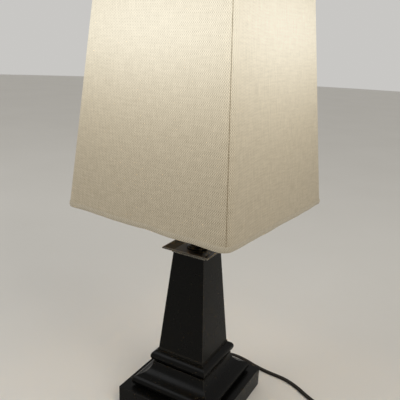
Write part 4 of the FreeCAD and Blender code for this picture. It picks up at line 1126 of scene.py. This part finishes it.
# %% Floor
FLOOR_RADIUS = 8.0
FLOOR_STEPS = 64
floor_points = [Vector((0.0, 0.0, 0.0))]
for step in range(FLOOR_STEPS):
    angle = 2 * math.pi * step / FLOOR_STEPS
    x, y = FLOOR_RADIUS * math.cos(angle), FLOOR_RADIUS * math.sin(angle)
    floor_points.append(Vector((x, y, 0.0)))
floor_faces = [(0, step + 1, (step + 1) % FLOOR_STEPS + 1) for step in range(FLOOR_STEPS)]
floor_mesh = bpy.data.meshes.new("floor")
floor_mesh.from_pydata(floor_points, [], floor_faces)
floor = link_piece("floor", floor_mesh)
floor_finish, floor_tree, floor_shader, floor_place = finish("pale_floor", Roughness=0.7)
floor_cloud = noise(floor_tree, floor_place, 3.0, 2.0)
floor_colour = mixed(floor_tree, floor_cloud, rgb(218, 215, 208), rgb(225, 222, 216))
floor_tree.links.new(floor_colour, floor_shader.inputs["Base Color"])
floor.data.materials.append(floor_finish)
print("floor", len(floor_faces), "faces")

# %% World
WORLD_LIGHT = 0.5
WORLD_SHOWN = 0.58
world = bpy.data.worlds.new("studio")
scene.world = world
world.use_nodes = True
sky = world.node_tree
backdrop = sky.nodes["Background"]
backdrop.inputs["Color"].default_value = (1.0, 0.985, 0.955, 1.0)
rays = node(sky, "ShaderNodeLightPath").outputs
seen = maths(sky, "MAXIMUM", rays["Is Camera Ray"], rays["Is Transmission Ray"])
seen = maths(sky, "MAXIMUM", seen, rays["Is Glossy Ray"])
level = maths(sky, "MULTIPLY_ADD", seen, WORLD_SHOWN - WORLD_LIGHT, WORLD_LIGHT)
sky.links.new(level, backdrop.inputs["Strength"])
print("world", WORLD_LIGHT, "shown as", WORLD_SHOWN)

# %% Lamps
KEY_WATTS = 11.0
FILL_WATTS = 14.0
WARM_WHITE = (1.0, 0.97, 0.92)
COOL_WHITE = (0.95, 0.97, 1.0)


def soft_lamp(name, place, target, size, watts, colour):
    data = bpy.data.lights.new(name, "AREA")
    data.shape = "DISK"
    data.size = size
    data.energy = watts
    data.color = colour
    lamp = link_piece(name, data)
    lamp.location = place
    lamp.rotation_euler = (Vector(target) - Vector(place)).to_track_quat("-Z", "Y").to_euler()
    print("lamp", name, watts, "W")


soft_lamp("key", (1.5, -0.5, 1.5), (0.0, 0.0, 0.35), 1.2, KEY_WATTS, WARM_WHITE)
soft_lamp("fill", (-1.4, -1.3, 1.5), (0.0, 0.0, 0.4), 1.6, FILL_WATTS, COOL_WHITE)

# %% [markdown]
# ## Joining the pieces to the frame
# Each piece rides on a body of the frame and takes the place of the simple solid that it was
# built from.

# %% Ride and replace
for piece, body, replaced, slot_name in (
    (flex, "stand", ("cord_run", "cord_coil", "cord_tail"), "dark_vinyl"),
    (relief, "stand", ("cord_bushing",), "moulded_black"),
    (relief_ribs, "stand", (), "moulded_black"),
    (plug, "stand", ("plug_body",), "moulded_black"),
    (plug_ribs, "stand", (), "moulded_black"),
    (leads, "stand", ("leads",), "dark_vinyl"),
    (felt, "stand", ("felt_pad",), "felt"),
    (shade_linen, "shade", ("shade_cover",), "shade_fabric"),
    (trims[0], "shade", ("trim_bottom",), "shade_fabric"),
    (trims[1], "shade", ("trim_top",), "shade_fabric"),
    (seam, "shade", (), "shade_fabric"),
):
    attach(piece, body)
    if replaced:
        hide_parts(*replaced)
